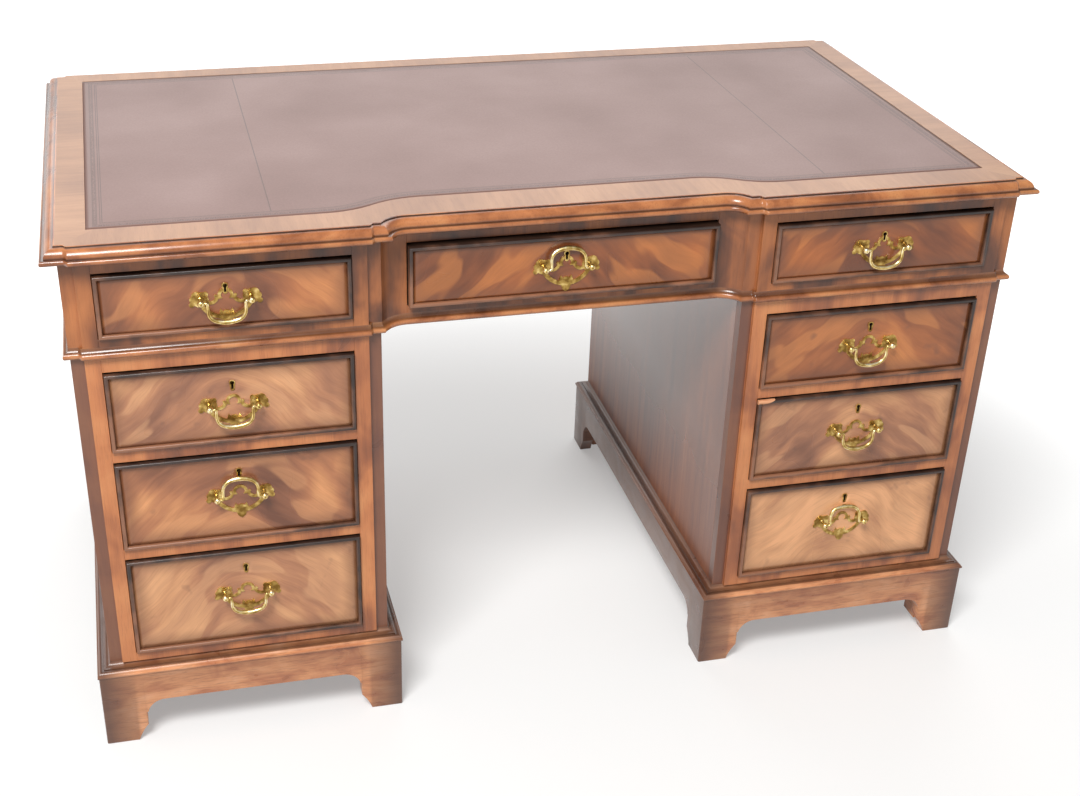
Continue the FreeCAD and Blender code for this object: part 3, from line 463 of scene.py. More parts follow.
# Crotch mahogany veneer of the drawer fronts, French polished: feathers of paler wood that lean up to
# the middle from both sides, fine streaks along them, a few dark stains, and a dark margin of old
# polish by the bead. across and along are the two ways through a feather, in metres. Patterns have
# their size in millimetres along and across it, and how fine their detail goes.
def flameVeneer():
    look = {"slope": 0.85, "apex": 0.018, "swirlMm": 120, "swirl": 0.06, "drift": 9.0, "stainMm": 34,
            "patterns": {"feather": ((300, 120, 1000), 1.5), "streak": ((190, 24, 1000), 3.0),
                         "flare": ((230, 48, 1000), 1.0), "ray": ((55, 11, 1000), 3.0),
                         "hair": ((60, 2.0, 1000), 3.0)},
            "streakShare": 0.3, "rayShare": 0.12, "deepTone": -0.06, "ragged": 0.03,
            "margin": (-0.016, 0.010),
            "stops": [(0.33, "#6c4534"), (0.43, "#8f6048"), (0.52, "#b17a58"), (0.59, "#cb9368"),
                      (0.68, "#e9ac7c")],
            "flare": "#d6a074", "deep": "#f5ce98", "stain": "#5b4238", "hair": "#7a4626", "edge": "#6a422c"}
    material, tree = newMaterial("flameMahoganyVeneer")
    uv = addNode(tree, "UVMap", uv_map="veneer").outputs["UV"]
    seed, tone, edge = (attributeOf(tree, name) for name in ("figureSeed", "tone", "edgeDistance"))
    swirl = noise(tree, uv, look["swirlMm"], seed, "Color", Detail=2.0)
    centred = addNode(tree, "VectorMath", {0: swirl}, {1: (0.5,) * 3}, operation="SUBTRACT").outputs[0]
    pushed = addNode(tree, "VectorMath", {0: centred, 2: uv}, {1: (look["swirl"],) * 3},
                     operation="MULTIPLY_ADD").outputs[0]
    part = axesOf(tree, pushed)
    side = maths(tree, "SQRT", maths(tree, "MULTIPLY_ADD", part["X"], part["X"], look["apex"] ** 2))
    across = maths(tree, "MULTIPLY_ADD", side, look["slope"], part["Y"])
    along = maths(tree, "MULTIPLY_ADD", part["Y"], -look["slope"], side)
    flow = addNode(tree, "CombineXYZ", {"X": along, "Y": across}).outputs[0]
    drift = maths(tree, "MULTIPLY_ADD", part["X"], look["drift"], seed)
    feather, streak, flare, ray, hair = (
        noise(tree, flow, sizeMm, drift, Detail=detail, Roughness=0.5, Distortion=0.25)
        for sizeMm, detail in look["patterns"].values())
    figure = mixed(tree, mixed(tree, feather, streak, look["streakShare"]), ray, look["rayShare"])
    surface = coloured(tree, maths(tree, "ADD", figure, tone), look["stops"])
    flared = spread(tree, flare, over=(0.53, 0.58), to=(0.0, 0.42), kind="SMOOTHSTEP")
    surface = tinted(tree, surface, flared, look["flare"])
    deep = spread(tree, tone, over=(0.0, look["deepTone"]), to=(0.0, 1.0))
    surface = tinted(tree, surface, deep, look["deep"], "MULTIPLY")
    spot = noise(tree, uv, look["stainMm"], seed, Detail=2.0)
    surface = tinted(tree, surface, spread(tree, spot, over=(0.66, 0.76), to=(0.0, 0.5)), look["stain"])
    surface = tinted(tree, surface, spread(tree, hair, over=(0.48, 0.72), to=(0.0, 0.22)), look["hair"])
    ragged = maths(tree, "MULTIPLY_ADD", feather, -look["ragged"], edge)
    margin = spread(tree, ragged, over=look["margin"], to=(0.55, 0.0), kind="SMOOTHSTEP")
    surface = tinted(tree, surface, margin, look["edge"])
    addShader(tree, {"Base Color": surface, "Normal": bumped(tree, hair, 0.1, 0.3 * mm),
                     "Roughness": spread(tree, feather, over=(0.3, 0.7), to=(0.25, 0.38))},
              {"IOR": 1.5, "Coat Weight": 0.12, "Coat Roughness": 0.16})
    return material


# Cast brass, polished: pale gold where the hand and the cloth rub it, and olive on the flat of the
# plates, tarnish together with painted shade that leaves the edges reading as lit
def castBrass():
    look = {"stainMm": 9, "gritMm": 1.5, "tarnishAndShade": 0.26,
            "stops": [(0.12, "#7b5d2c"), (0.3, "#b09050"), (0.46, "#dec582"), (0.64, "#f6eac4")]}
    material, tree = newMaterial("polishedCastBrass")
    place = objectPlace(tree)
    stain = noise(tree, place, look["stainMm"], Detail=4.0)
    # faces turned straight to the front are painted darker: tarnish together with painted shade
    flat = spread(tree, facingBack(tree), over=(-0.94, -0.99), to=(0.0, look["tarnishAndShade"]))
    grit = noise(tree, place, look["gritMm"], Detail=2.0)
    addShader(tree, {"Base Color": coloured(tree, maths(tree, "SUBTRACT", stain, flat), look["stops"]),
                     "Roughness": spread(tree, stain, over=(0.3, 0.7), to=(0.38, 0.26)),
                     "Normal": bumped(tree, grit, 0.15, 0.2 * mm)}, {"Metallic": 1.0})
    return material


# Hide leather, dyed burgundy brown and rubbed in use, with a fine pebbled grain. Tooling runs at set
# distances from its edge, in millimetres: a smooth margin, a band of small dots between two fine lines,
# two more lines, and two single lines that part the field in three. half, back and fieldLine are metres.
def tooledLeather():
    look = {"half": 0.6275, "back": 0.321, "margin": 9.0, "dots": (9.5, 14.5), "dotPitchMm": 3.2,
            "dotRadius": 0.42, "bandEdge": 0.8, "lines": {18.5: 0.55, 21.0: 0.55, 9.5: 0.45, 14.5: 0.45},
            "fieldFrom": 21.0, "fieldLine": 0.391, "fieldLineHalf": 0.75 * mm, "cloudMm": 170, "fleckMm": 3.2,
            "fleckShare": 0.3, "pebbleMm": 1.7, "sink": 1.2,
            "marginColour": "#72534a", "tooledColour": "#52372e",
            "stops": [(0.3, "#6e4d44"), (0.5, "#76544b"), (0.7, "#7e5c53")]}
    material, tree = newMaterial("tooledHideLeather")
    place = objectPlace(tree)
    part = axesOf(tree, place)
    across = maths(tree, "ABSOLUTE", part["X"])
    toSide = maths(tree, "SUBTRACT", look["half"], across)
    toBack = maths(tree, "SUBTRACT", look["back"], part["Y"])
    toFront = attributeOf(tree, "frontDistance")
    nearest = maths(tree, "MINIMUM", maths(tree, "MINIMUM", toSide, toBack), toFront)
    inMm = maths(tree, "MULTIPLY", nearest, 1000.0)
    tooling = [maths(tree, "COMPARE", inMm, centre, half) for centre, half in look["lines"].items()]
    onLine = maths(tree, "COMPARE", across, look["fieldLine"], look["fieldLineHalf"])
    inField = maths(tree, "GREATER_THAN", inMm, look["fieldFrom"])
    tooling.append(maths(tree, "MULTIPLY", onLine, inField))
    low, high = look["dots"]
    inBand = maths(tree, "COMPARE", inMm, (low + high) / 2, (high - low) / 2 - look["bandEdge"])
    dots = addNode(tree, "TexVoronoi", {"Vector": place},
                   {"Scale": 1000 / look["dotPitchMm"], "Randomness": 0.35}, voronoi_dimensions="2D")
    onDot = maths(tree, "LESS_THAN", dots.outputs["Distance"], look["dotRadius"])
    tooling.append(maths(tree, "MULTIPLY", inBand, onDot))
    tooled = tooling[0]
    for mark in tooling[1:]:
        tooled = maths(tree, "MAXIMUM", tooled, mark)
    cloud = noise(tree, place, look["cloudMm"], Detail=5.0)
    fleck = noise(tree, place, look["fleckMm"], Detail=3.0)
    tone = mixed(tree, cloud, fleck, look["fleckShare"])
    inMargin = maths(tree, "LESS_THAN", inMm, look["margin"])
    surface = tinted(tree, coloured(tree, tone, look["stops"]), inMargin, look["marginColour"])
    surface = tinted(tree, surface, tooled, look["tooledColour"])
    cell = addNode(tree, "TexVoronoi", {"Vector": place}, {"Scale": 1000 / look["pebbleMm"]},
                   feature="SMOOTH_F1")
    sunk = maths(tree, "MULTIPLY_ADD", tooled, -look["sink"], cell.outputs["Distance"])
    addShader(tree, {"Base Color": surface, "Normal": bumped(tree, sunk, 0.25, 0.3 * mm),
                     "Roughness": spread(tree, tone, over=(0.3, 0.7), to=(0.46, 0.38))}, {"IOR": 1.5})
    return material


flameMahogany = flameVeneer()
brass = castBrass()
leather = tooledLeather()
beadWood = stainedBead()
crossband = crossbandVeneer()
print("materials made")

# CAD nodes that keep their shape take a finish by how their names end
finishes = {
    ("_box", "_runners"): liningOak, ("_brass", "_bail", "_lock_bolt"): brass, ("top_board",): crossband,
    ("_drawer_front",): shadowEdgeMahogany, ("front_frame", "plinth"): frameMahogany,
    ("moulding",): mouldingMahogany, ("leather_inset",): leather}
for name, node in frame["nodes"].items():
    fitting = [finish for ends, finish in finishes.items() if name.endswith(ends)]
    node.data.materials.clear()
    node.data.materials.append(fitting[0] if fitting else panelMahogany)


# Mouldings of the top section

# A moulding right round the top section, a profile carried along the plan of the case. A profile
# point at some distance out follows the plan moved out by that distance: straight at the centre,
# a hollow of radius less that distance, strips and bays joined by a short S, square corners, and
# the back. The left half mirrors the right.
def mouldingRound(profile, base, breakPast, softness):
    rows = {"arc": 20, "sway": 13}
    d = profile[None, :, 0]
    radius = desk["hollowRadius"] - d
    turn = np.linspace(0, 1, rows["arc"])[:, None] * np.arccos((radius - hollowRise) / radius)
    s = np.linspace(0, 1, rows["sway"])[:, None]
    sway = desk["bayStep"] * s * s * (3 - 2 * s)
    innerBreak = bayInner - breakPast + (s - 0.5) * softness
    outerBreak = bayOuter + breakPast + (s - 0.5) * softness
    stretches = [
        (0 * d, centreFront - d),
        (hollowX + radius * np.sin(turn), hollowY + radius * np.cos(turn)),
        (innerBreak, stripFront - sway - d),
        (outerBreak, bayFront + sway - d),
        (friezeHalf + d, stripFront - d),
        (friezeHalf + d, d - stripFront),
        (outerBreak[::-1], sway - stripFront + d),
        (0 * d, d - bayFront)]
    height = base + profile[None, :, 1]
    right = np.concatenate([np.stack(np.broadcast_arrays(x, y, height), axis=-1) for x, y in stretches])
    left = right[::-1][1:-1] * [-1, 1, 1]
    points = np.concatenate([right, left])
    return points.reshape(-1, 3), gridFaces(len(points), len(profile), True, True)


def addMoulding(name, look, base, node):
    profile = profilePoints(look["steps"])
    points, faces = mouldingRound(profile * mm, base, look["breakPast"], look["softness"])
    # the attribute carries dark polish together with painted shade in the quirks and under the beads
    grimeAndShade = np.interp(profile[:, 1], *np.transpose(look["grimeAndShade"]))
    addPiece(name, (points, faces), mouldingMahogany, "desk", [node], crisp=32,
             attributes={"grimeAndShade": np.tile(grimeAndShade, len(points) // len(profile))})


def makeMouldings():
    # Steps out and up in millimetres: a lap, a quirk, a broad ovolo and a bead
    # the darkness table lists heights in millimetres and how dark each is painted there: dark polish together
    # with painted shade in the quirks and under the beads
    edge = {"steps": [(-7, -0.4), (0, -0.12), (1.2, -0.12), (1.7, -0.3), (1.9, -0.9), (1.9, -2.0), (3, -2.2),
                      (14.5, -12.6, 3.0), (14.5, -13.6), (16.7, -13.4), (16.7, -21, 3.8), (-7, -21)],
            "breakPast": 0.0065, "softness": 0.006,
            "grimeAndShade": [(-21, 0.9), (-20.5, 0.6), (-19, 0.1), (-14, 0.1), (-13.5, 0.9), (-12.6, 0.7),
                      (-11.5, 0.1), (-5, 0.0), (-2.5, 0.0), (-2.1, 0.95), (-0.9, 0.95), (-0.3, 0.1),
                      (0, 0.0)]}
    addMoulding("topEdgeMoulding", edge, deskTop, "top_edge_moulding")
    # A cavetto over a bead
    waist = {"steps": [(-7, 15), (0, 15), (3.1, 9, -0.74), (3.1, 0, 4.5), (-7, 0)],
             "breakPast": 0.004, "softness": 0.005,
             "grimeAndShade": [(0, 0.9), (1, 0.35), (2.5, 0.0), (7, 0.0), (8.7, 0.6), (9.2, 0.75), (15, 0.55)]}
    addMoulding("waistMoulding", waist, waistZ, "waist_moulding")


# The leather: rows run from its front edge to its back edge and columns along its length. The front
# edge is a line with an S of two parabolas between bay and centre, and its distance from any point
# is kept for the tooling. Its surface ripples by the sum of two sine waves, each given in radians per
# metre along X and along Y, and a phase.
def makeLeather():
    look = {"columns": 200, "rows": 70, "sweepLength": 0.125, "rise": 0.036, "thickness": 0.001,
            "ripple": 0.00006, "waves": ((23, 9, 0), (-14, 31, 1.3))}
    low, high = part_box("leather_inset")
    x = np.linspace(low.x, high.x, look["columns"])[None, :]
    sweep = look["sweepLength"]
    t = np.clip((desk["kneeholeHalf"] + sweep / 2 - np.abs(x)) / sweep, 0, 1)
    front = low.y + look["rise"] * np.where(t < 0.5, 2 * t * t, 1 - 2 * (1 - t) ** 2)
    y = front + (high.y - front) * np.linspace(0, 1, look["rows"])[:, None]
    slope = np.gradient(front[0], x[0])[None, :]
    ripple = sum(np.sin(x * a + y * b + phase) - 1 for a, b, phase in look["waves"])
    z = high.z + look["ripple"] * ripple
    points = np.stack(np.broadcast_arrays(x, y, z), axis=-1).reshape(-1, 3)
    toFront = ((y - front) / np.sqrt(1 + slope ** 2)).ravel()
    addPiece("leatherTop", (points, gridFaces(look["rows"], look["columns"])), leather, "desk",
             ["leather_inset"], thickness=look["thickness"], attributes={"frontDistance": toFront})


makeMouldings()
makeLeather()
print("top dressed")


# Front frames

# The opening round a drawer's front: its left and right edges, and its lower and upper ones
def opening(name):
    low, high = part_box(name + "_front")
    gap = desk["drawerGap"]
    return low.x - gap, high.x + gap, low.z - gap, high.z + gap


# A rail between two stiles. Over a drawer it is worn up a little from the opening, and behind its face
# it is split round the mortise for a lock's bolt, a slot as wide as the bolt with some room. opened is
# how far its drawer stands out at rest.
def railParts(left, right, face, low, high, overDrawer=False, opened=0.0):
    look = {"worn": 0.0018, "skin": 0.0115, "slotHalf": 0.0095, "slotFront": 0.0124, "slotBack": 0.0184,
            "slotRise": 0.0105}
    back = face + desk["railDepth"]
    if not overDrawer:
        return [boxPart((left, face, low), (right, back, high))]
    low = low + look["worn"]
    skin = face + look["skin"] - opened
    near, far = face + look["slotFront"] - opened, face + look["slotBack"]
    middle, roof = (left + right) / 2, low + look["slotRise"]
    slotLeft, slotRight = middle - look["slotHalf"], middle + look["slotHalf"]
    return [boxPart((left, face, low), (right, skin, high)),
            boxPart((left, skin, low), (slotLeft, back, high)),
            boxPart((slotRight, skin, low), (right, back, high)),
            boxPart((slotLeft, skin, low), (slotRight, near, roof)),
            boxPart((slotLeft, far, low), (slotRight, back, roof)),
            boxPart((slotLeft, skin, roof), (slotRight, back, high))]


# Two stop blocks on the rail under a drawer, a quarter of its width either side of its middle
def stopParts(left, right, face, railTop):
    look = {"half": 0.015, "depth": 0.008, "height": 0.005, "behind": 0.0203}
    near = face + look["behind"]
    middle, quarter = (left + right) / 2, (right - left - 2 * desk["drawerGap"]) / 4
    return [boxPart((centre - look["half"], near, railTop),
                    (centre + look["half"], near + look["depth"], railTop + look["height"]))
            for centre in (middle - quarter, middle + quarter)]


# Plan of the hollow: points on its arc from the centre's face to the strip's
def hollowPlan(count=18):
    radius = desk["hollowRadius"]
    turn = np.linspace(0, math.acos(1 - hollowRise / radius), count)
    return np.stack([hollowX + radius * np.sin(turn), hollowY + radius * np.cos(turn)], 1).tolist()


# The frieze's frame: posts with a hollow corner, end stiles, and rails under and over the drawers
def makeFriezeFrame():
    look = {"ease": 0.0007, "partitionHigh": 0.2765, "centreOpened": 0.008}
    innerEdge, outerEdge, openLow, openHigh = opening("right_frieze_drawer")
    centreHalf = opening("centre_frieze_drawer")[1]
    stileBack = bayFront + desk["stileDepth"]
    postBack = centreFront + desk["stileDepth"]
    post = [(centreHalf, centreFront)] + hollowPlan() + [
        (bayInner, stripFront), (bayInner, bayFront), (innerEdge, bayFront), (innerEdge, stileBack),
        (look["partitionHigh"], stileBack), (look["partitionHigh"], postBack), (centreHalf, postBack)]
    stile = [(outerEdge, bayFront), (bayOuter, bayFront), (bayOuter, stripFront), (friezeHalf, stripFront),
             (friezeHalf, stileBack), (outerEdge, stileBack)]
    spans = ((innerEdge, outerEdge, bayFront, 0.0),
             (-centreHalf, centreHalf, centreFront, look["centreOpened"]))
    bay, centre = (railParts(left, right, face, waistZ, openLow)
                   + railParts(left, right, face, openHigh, friezeTop, True, opened)
                   + stopParts(left, right, face, openLow) for left, right, face, opened in spans)
    side = [extruded(post, waistZ, friezeTop), extruded(stile, waistZ, friezeTop)] + bay
    parts = side + [mirrorPart(part) for part in side] + centre
    addPiece("friezeFrame", joinParts(parts), shadedFriezeMahogany, "desk", ["frieze_front_frame"],
             bevel=look["ease"])


# A pedestal's frame: stiles and rails down to a lap below the top of the plinth's moulding, and a sill
# behind it
def makePedestalFrames():
    look = {"ease": 0.0007, "lap": 0.0003, "sillBehind": 0.0005}
    frameLow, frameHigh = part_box("right_pedestal_front_frame")
    face, strip = frameLow.y, frameLow.y + desk["bayStep"]
    back = face + desk["stileDepth"]
    inner, outer = frameLow.x, frameHigh.x
    rows = [opening("right_" + row + "_drawer") for row in ("lower", "middle", "upper")]
    innerEdge, outerEdge, lowest = rows[0][:3]
    stiles = [[(inner, strip), (bayInner, strip), (bayInner, face), (innerEdge, face), (innerEdge, back),
               (inner, back)],
              [(outerEdge, face), (bayOuter, face), (bayOuter, strip), (outer, strip), (outer, back),
               (outerEdge, back)]]
    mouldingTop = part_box("right_plinth")[1].z
    foot = mouldingTop - look["lap"]
    parts = [extruded(stile, foot, frameHigh.z) for stile in stiles]
    parts += railParts(innerEdge, outerEdge, face, foot, lowest)
    parts.append(boxPart((inner, strip + look["sillBehind"], frameLow.z), (outer, back, mouldingTop)))
    railTops = [row[2] for row in rows[1:]] + [frameHigh.z]
    for (left, right, openLow, openHigh), railTop in zip(rows, railTops):
        parts += railParts(left, right, face, openHigh, railTop, True)
        parts += stopParts(left, right, face, openLow)
    whole = joinParts(parts)
    for side, part in (("right", whole), ("left", mirrorPart(whole))):
        addPiece(side + "PedestalFrame", part, frameMahogany, "desk",
                 [side + "_pedestal_front_frame"], bevel=look["ease"])


makeFriezeFrame()
makePedestalFrames()
print("front frames made")


# Plinths

# The lower edge of a plinth board between two bracket feet, in metres along and up: a flared toe,
# an upright edge, a small cusp and a cove, and the same the other way round
def bracketEdge(length):
    look = {"footStart": 20, "footEnd": 47, "footWidth": 62, "flare": 27, "flareSag": 1.5, "coveFoot": 50,
            "cusp": 1.8, "coveWidth": 28, "coveSag": 5.8, "apron": 70, "step": 0.05, "fineness": 8}
    upright, cove, step = look["footWidth"], look["coveFoot"], look["step"]
    last = (upright + look["coveWidth"], look["apron"])
    steps = [(look["footStart"], 0), (look["footEnd"], 0), (upright, look["flare"], look["flareSag"]),
             (upright + step, cove), (upright + look["cusp"], cove + step), (*last, look["coveSag"])]
    left = np.concatenate([profilePoints(steps, look["fineness"])[:-1], [last]]) * mm
    right = left[::-1] * [-1, 1] + [length, 0]
    return np.concatenate([left, right])


# A plinth: four boards as one ring with a small round at each corner. Rows run round it along the
# boards' lower edges, and columns go under with eased edges, up the inside, over the top and down the
# outside. depths is how far in from the outer face each column lies, and lifts how far above the edge.
def plinthRing(low, high, top):
    look = {"corner": 0.0025, "innerCorner": 0.0005, "ease": 0.0012, "cornerRows": 6, "easeColumns": 4}
    corners = np.array([(low[0], low[1]), (high[0], low[1]), (high[0], high[1]), (low[0], high[1])])
    fan = np.linspace(0, math.pi / 2, look["cornerRows"])[:, None]
    bend = np.linspace(0, math.pi / 2, look["easeColumns"])
    lift, depth = look["ease"] * (1 - np.sin(bend)), look["ease"] * (1 - np.cos(bend))
    lifts = np.concatenate([lift, lift[::-1], [0, 0]])[:, None, None]
    board = desk["plinthBoard"]
    depths = np.concatenate([depth, board - depth[::-1], [board, 0]])[:, None, None]
    radius = np.maximum(look["corner"] - depths, look["innerCorner"])
    rows = []
    for start, end in zip(corners, np.roll(corners, -1, axis=0)):
        length = np.linalg.norm(end - start)
        along = (end - start) / length
        out = np.array([along[1], -along[0]])
        before = np.array([out[1], -out[0]])
        normal = np.cos(fan) * before + np.sin(fan) * out
        turned = start - (depths + radius) * (before + out) + radius * normal
        edge = bracketEdge(length)
        slope = np.gradient(edge, axis=0)
        slope /= np.linalg.norm(slope, axis=1)[:, None]
        moved = edge + np.stack([-slope[:, 1], slope[:, 0]], axis=1) * lifts
        plan = np.concatenate([turned, start + along * moved[:, :, :1] - out * depths], axis=1)
        height = np.concatenate([np.broadcast_to(lifts, (len(lifts), len(fan), 1)), moved[:, :, 1:]], axis=1)
        height[-2:] = top
        rows.append(np.concatenate([plan, height], axis=2).swapaxes(0, 1))
    points = np.concatenate(rows)
    return points.reshape(-1, 3), gridFaces(points.shape[0], points.shape[1], True, True)


def makePlinths():
    # Moulding steps out and up in millimetres: a hollow, a fillet, an ovolo and a lip
    # the darkness table lists heights in millimetres and how dark each is painted there: dark polish together
    # with painted shade in the quirks, and darker towards the floor
    look = {"steps": [(-1, 16), (0, 16), (8.3, 9.6, -1.76), (9.8, 9.6), (9.8, 8), (18, 4, 1.8), (19.4, 3.4),
                      (19.6, 2.8), (19.6, 0.4), (19.2, 0), (-1, 0)],
            "reach": 0.0196, "lip": 0.0016, "height": 0.121, "block": 0.034, "blockFoot": 0.0135,
            "blockBelow": 0.001,
            "grimeAndShade": [(0, 0.35), (12, 0.0), (120.9, 0.0), (121.1, 0.8), (121.6, 0.1), (125, 0.0),
                      (128.5, 0.2), (129, 0.8), (130.6, 0.7), (133, 0.45), (137, 0.75)]}
    low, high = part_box("right_plinth")
    top, block, inset = look["height"], look["block"], desk["plinthBoard"]
    outerLow = (low.x + look["lip"], low.y + look["lip"])
    outerHigh = (high.x - look["lip"], high.y - look["lip"])
    profile = profilePoints(look["steps"]) * mm
    moulding = mitredRing((low.x, low.y), (high.x, high.y), look["reach"] - profile[:, 0],
                          top + profile[:, 1], (0, 1, 2))
    blocks = [boxPart((x, y, look["blockFoot"]), (x + block, y + block, top - look["blockBelow"]))
              for x in (outerLow[0] + inset, outerHigh[0] - inset - block)
              for y in (outerLow[1] + inset, outerHigh[1] - inset - block)]
    whole = joinParts([plinthRing(outerLow, outerHigh, top), moulding] + blocks)
    # the attribute carries dark polish together with painted shade in the quirks, and darker towards the
    # floor
    grimeAndShade = np.interp(whole[0][:, 2] / mm, *np.transpose(look["grimeAndShade"]))
    for side, part in (("right", whole), ("left", mirrorPart(whole))):
        addPiece(side + "Plinth", part, plinthMahogany, "desk", [side + "_plinth"], crisp=35,
                 attributes={"grimeAndShade": grimeAndShade})


makePlinths()
print("plinths made")


# Drawers

# The cock bead's section in millimetres: flatter is how much less than a half round it bows
bead = {"width": 5.5, "proud": 5.5, "flatter": 0.02, "fineness": 11}


# The veneer of a drawer front: a thin flat sheet between the beads, cut out round the keyhole under
# its escutcheon. Each point keeps its place from the middle and its distance to the edge. columns
# counts those either side of the keyhole, and rows those below and above it.
def makeVeneer(name, seed, tone):
    look = {"thickness": 0.0004, "keyBelow": 0.004, "holeHalf": 0.0027, "holeDrop": 0.0102,
            "holeRise": 0.0029, "columns": 22, "rows": (14, 6)}
    low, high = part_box(name + "_front")
    edge = bead["width"] * mm
    left, right, bottom, top = low.x + edge, high.x - edge, low.z + edge, high.z - edge
    middle = (low.x + high.x) / 2
    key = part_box(name + "_lock_bolt")[0].z - look["keyBelow"]
    below, above = look["rows"]
    x = np.concatenate([np.linspace(left, middle - look["holeHalf"], look["columns"]),
                        np.linspace(middle + look["holeHalf"], right, look["columns"])])
    z = np.concatenate([np.linspace(bottom, key - look["holeDrop"], below),
                        np.linspace(key + look["holeRise"], top, above)])
    gridX, gridZ = np.meshgrid(x, z)
    y = np.full_like(gridX, low.y + bead["proud"] * mm - look["thickness"])
    faces = gridFaces(len(z), len(x))
    del faces[(below - 1) * (len(x) - 1) + look["columns"] - 1]
    uv = np.stack([gridX - middle, gridZ - (bottom + top) / 2], axis=-1).reshape(-1, 2)
    toEdge = np.minimum(np.minimum(gridX - left, right - gridX), np.minimum(gridZ - bottom, top - gridZ))
    points = np.stack([gridX, y, gridZ], axis=-1).reshape(-1, 3)
    addPiece(name + ".veneer", (points, faces), flameMahogany, name,
             thickness=look["thickness"], uv=uv,
             attributes={"figureSeed": np.full(len(uv), seed), "tone": np.full(len(uv), tone),
                         "edgeDistance": toEdge.ravel()})


# A half-round section over the bead, in millimetres in from the front's edge and back from the veneer:
# skin is how far it stands out from the bead, and root how deep its straight sides go
def beadSection(skin, root):
    half, far = bead["width"] / 2, bead["width"] + skin
    shoulder = half - bead["proud"]
    steps = [(-skin, root), (-skin, shoulder), (far, shoulder, -half - skin + bead["flatter"]), (far, root)]
    return profilePoints(steps, bead["fineness"])


# Cock bead round a drawer front: a half-round strip carried round the four sides, mitred
def makeBead(name):
    # per strip, how far painted light lifts it towards brown, the upper one staying in painted shade, from
    # the lower one round by the right, and flank how much further its inner side is lifted, from a share of
    # its width on
    look = {"skin": 0.12, "root": 1.5, "paintedStripLight": (0.55, 0.15, 0.0, 0.15), "flank": 0.15, "flankFrom": 0.55}
    low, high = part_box(name + "_front")
    section = beadSection(look["skin"], look["root"])
    part = mitredRing((low.x, low.z), (high.x, high.z), section[:, 0] * mm,
                      low.y + (bead["proud"] + section[:, 1]) * mm, (0, 2, 1))
    flank = np.interp(section[:, 0] / bead["width"], (look["flankFrom"], 1), (0, look["flank"]))
    paintedStripLight = (np.array(look["paintedStripLight"])[:, None] + flank).ravel()
    addPiece(name + ".bead", part, beadWood, name, attributes={"paintedStripLight": paintedStripLight})


# A splinter lost from the bead at a drawer's upper left corner: bare wood round the bead, longer on
# its upper side than on its inner one
def makeChip(name):
    look = {"skin": 0.3, "root": 0.3, "lengths": (26, 12)}
    low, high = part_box(name + "_front")
    section = beadSection(look["skin"], look["root"])
    length = np.interp(section[:, 0], (0, bead["width"]), look["lengths"])
    x = low.x + np.stack([np.full(len(section), -look["skin"]), length]) * mm
    y = low.y + (bead["proud"] + section[:, 1]) * mm
    z = high.z - section[:, 0] * mm
    points = np.stack(np.broadcast_arrays(x, y, z), axis=-1).reshape(-1, 3)
    addPiece(name + ".chip", (points, tubeFaces(2, len(section))), splitMahogany, name)


# A bail: a round bar, thicker in the middle of its grip, carried along a shouldered loop whose ends
# turn out into the posts. The line hangs in a plane through the posts, in millimetres, and a bail that
# is turned up is swung round them. pinShare and swellFrom are shares of the way from end to middle.
def makeBail(name):
    look = {"halfWidth": 24.2, "drop": 28.5, "shoulder": 12.0, "flat": 1.5, "pinEnd": 30.8, "pinTip": 0.3,
            "pinNeck": 28.4, "turn": 2.6, "turnEnd": 1.5, "tipRadius": 0.15, "pinRadius": 1.45,
            "neckRadius": 1.9, "gripRadius": 3.6, "pinShare": 0.09, "swellFrom": 0.12, "swellPower": 0.9,
            "leanUp": 164, "sides": 14}
    joint = joints[name + "_bail_swing"]
    wide, shoulder, turn = look["halfWidth"], look["shoulder"], look["turn"]
    fall = look["drop"] - shoulder
    corner = fall - look["flat"]
    reach = wide - corner
    grip = (reach ** 2 + fall ** 2 - corner ** 2) / (2 * (fall - corner))
    lean = math.atan2(reach, grip - fall)
    pin = np.array([(look["pinEnd"], 0.0), (look["pinEnd"] - look["pinTip"], 0.0), (look["pinNeck"], 0.0)])
    bend = np.linspace(0, math.pi / 2, 6)
    neck = np.stack([wide + turn * (1 - np.sin(bend)), -turn * (1 - np.cos(bend))], 1)
    upright = np.column_stack([np.full(6, wide), np.linspace(-turn - look["turnEnd"], -shoulder, 6)])
    a = np.linspace(0, math.pi / 2 - lean, 12)[1:]
    rounded = np.stack([reach + corner * np.cos(a), -shoulder - corner * np.sin(a)], 1)
    b = np.linspace(lean, 0, 9)[1:]
    bottom = np.stack([grip * np.sin(b), grip - look["drop"] - grip * np.cos(b)], 1)
    half = np.concatenate([pin, neck, upright, rounded, bottom])
    line = np.concatenate([half, half[::-1][1:] * [-1, 1]])
    run = np.concatenate([[0], np.cumsum(np.linalg.norm(np.diff(line, axis=0), axis=1))])
    place = 1 - np.abs(2 * run / run[-1] - 1)
    swell = np.clip((place - look["swellFrom"]) / (1 - look["swellFrom"]), 0, 1) ** look["swellPower"]
    radius = look["neckRadius"] + (look["gripRadius"] - look["neckRadius"]) * swell
    radius = np.where(place < look["pinShare"], look["pinRadius"], radius)
    radius[[0, -1]] = look["tipRadius"]
    radius = radius[:, None]
    along = np.gradient(line, axis=0)
    along /= np.linalg.norm(along, axis=1)[:, None]
    phi = np.linspace(0, 2 * math.pi, look["sides"], endpoint=False)[None, :]
    x = line[:, :1] - along[:, 1:] * radius * np.cos(phi)
    z = line[:, 1:] + along[:, :1] * radius * np.cos(phi)
    y = radius * np.sin(phi)
    angle = math.radians(look["leanUp"]) if joint["axis"][0] > 0 else 0.0
    turned = np.stack([x, y * np.cos(angle) - z * np.sin(angle), y * np.sin(angle) + z * np.cos(angle)], -1)
    points = turned.reshape(-1, 3) * mm + np.array(joint["pos_m"])
    addPiece(name + ".bail", (points, tubeFaces(len(line), look["sides"])), brass, name + "_handle",
             [name + "_bail"], crisp=50)


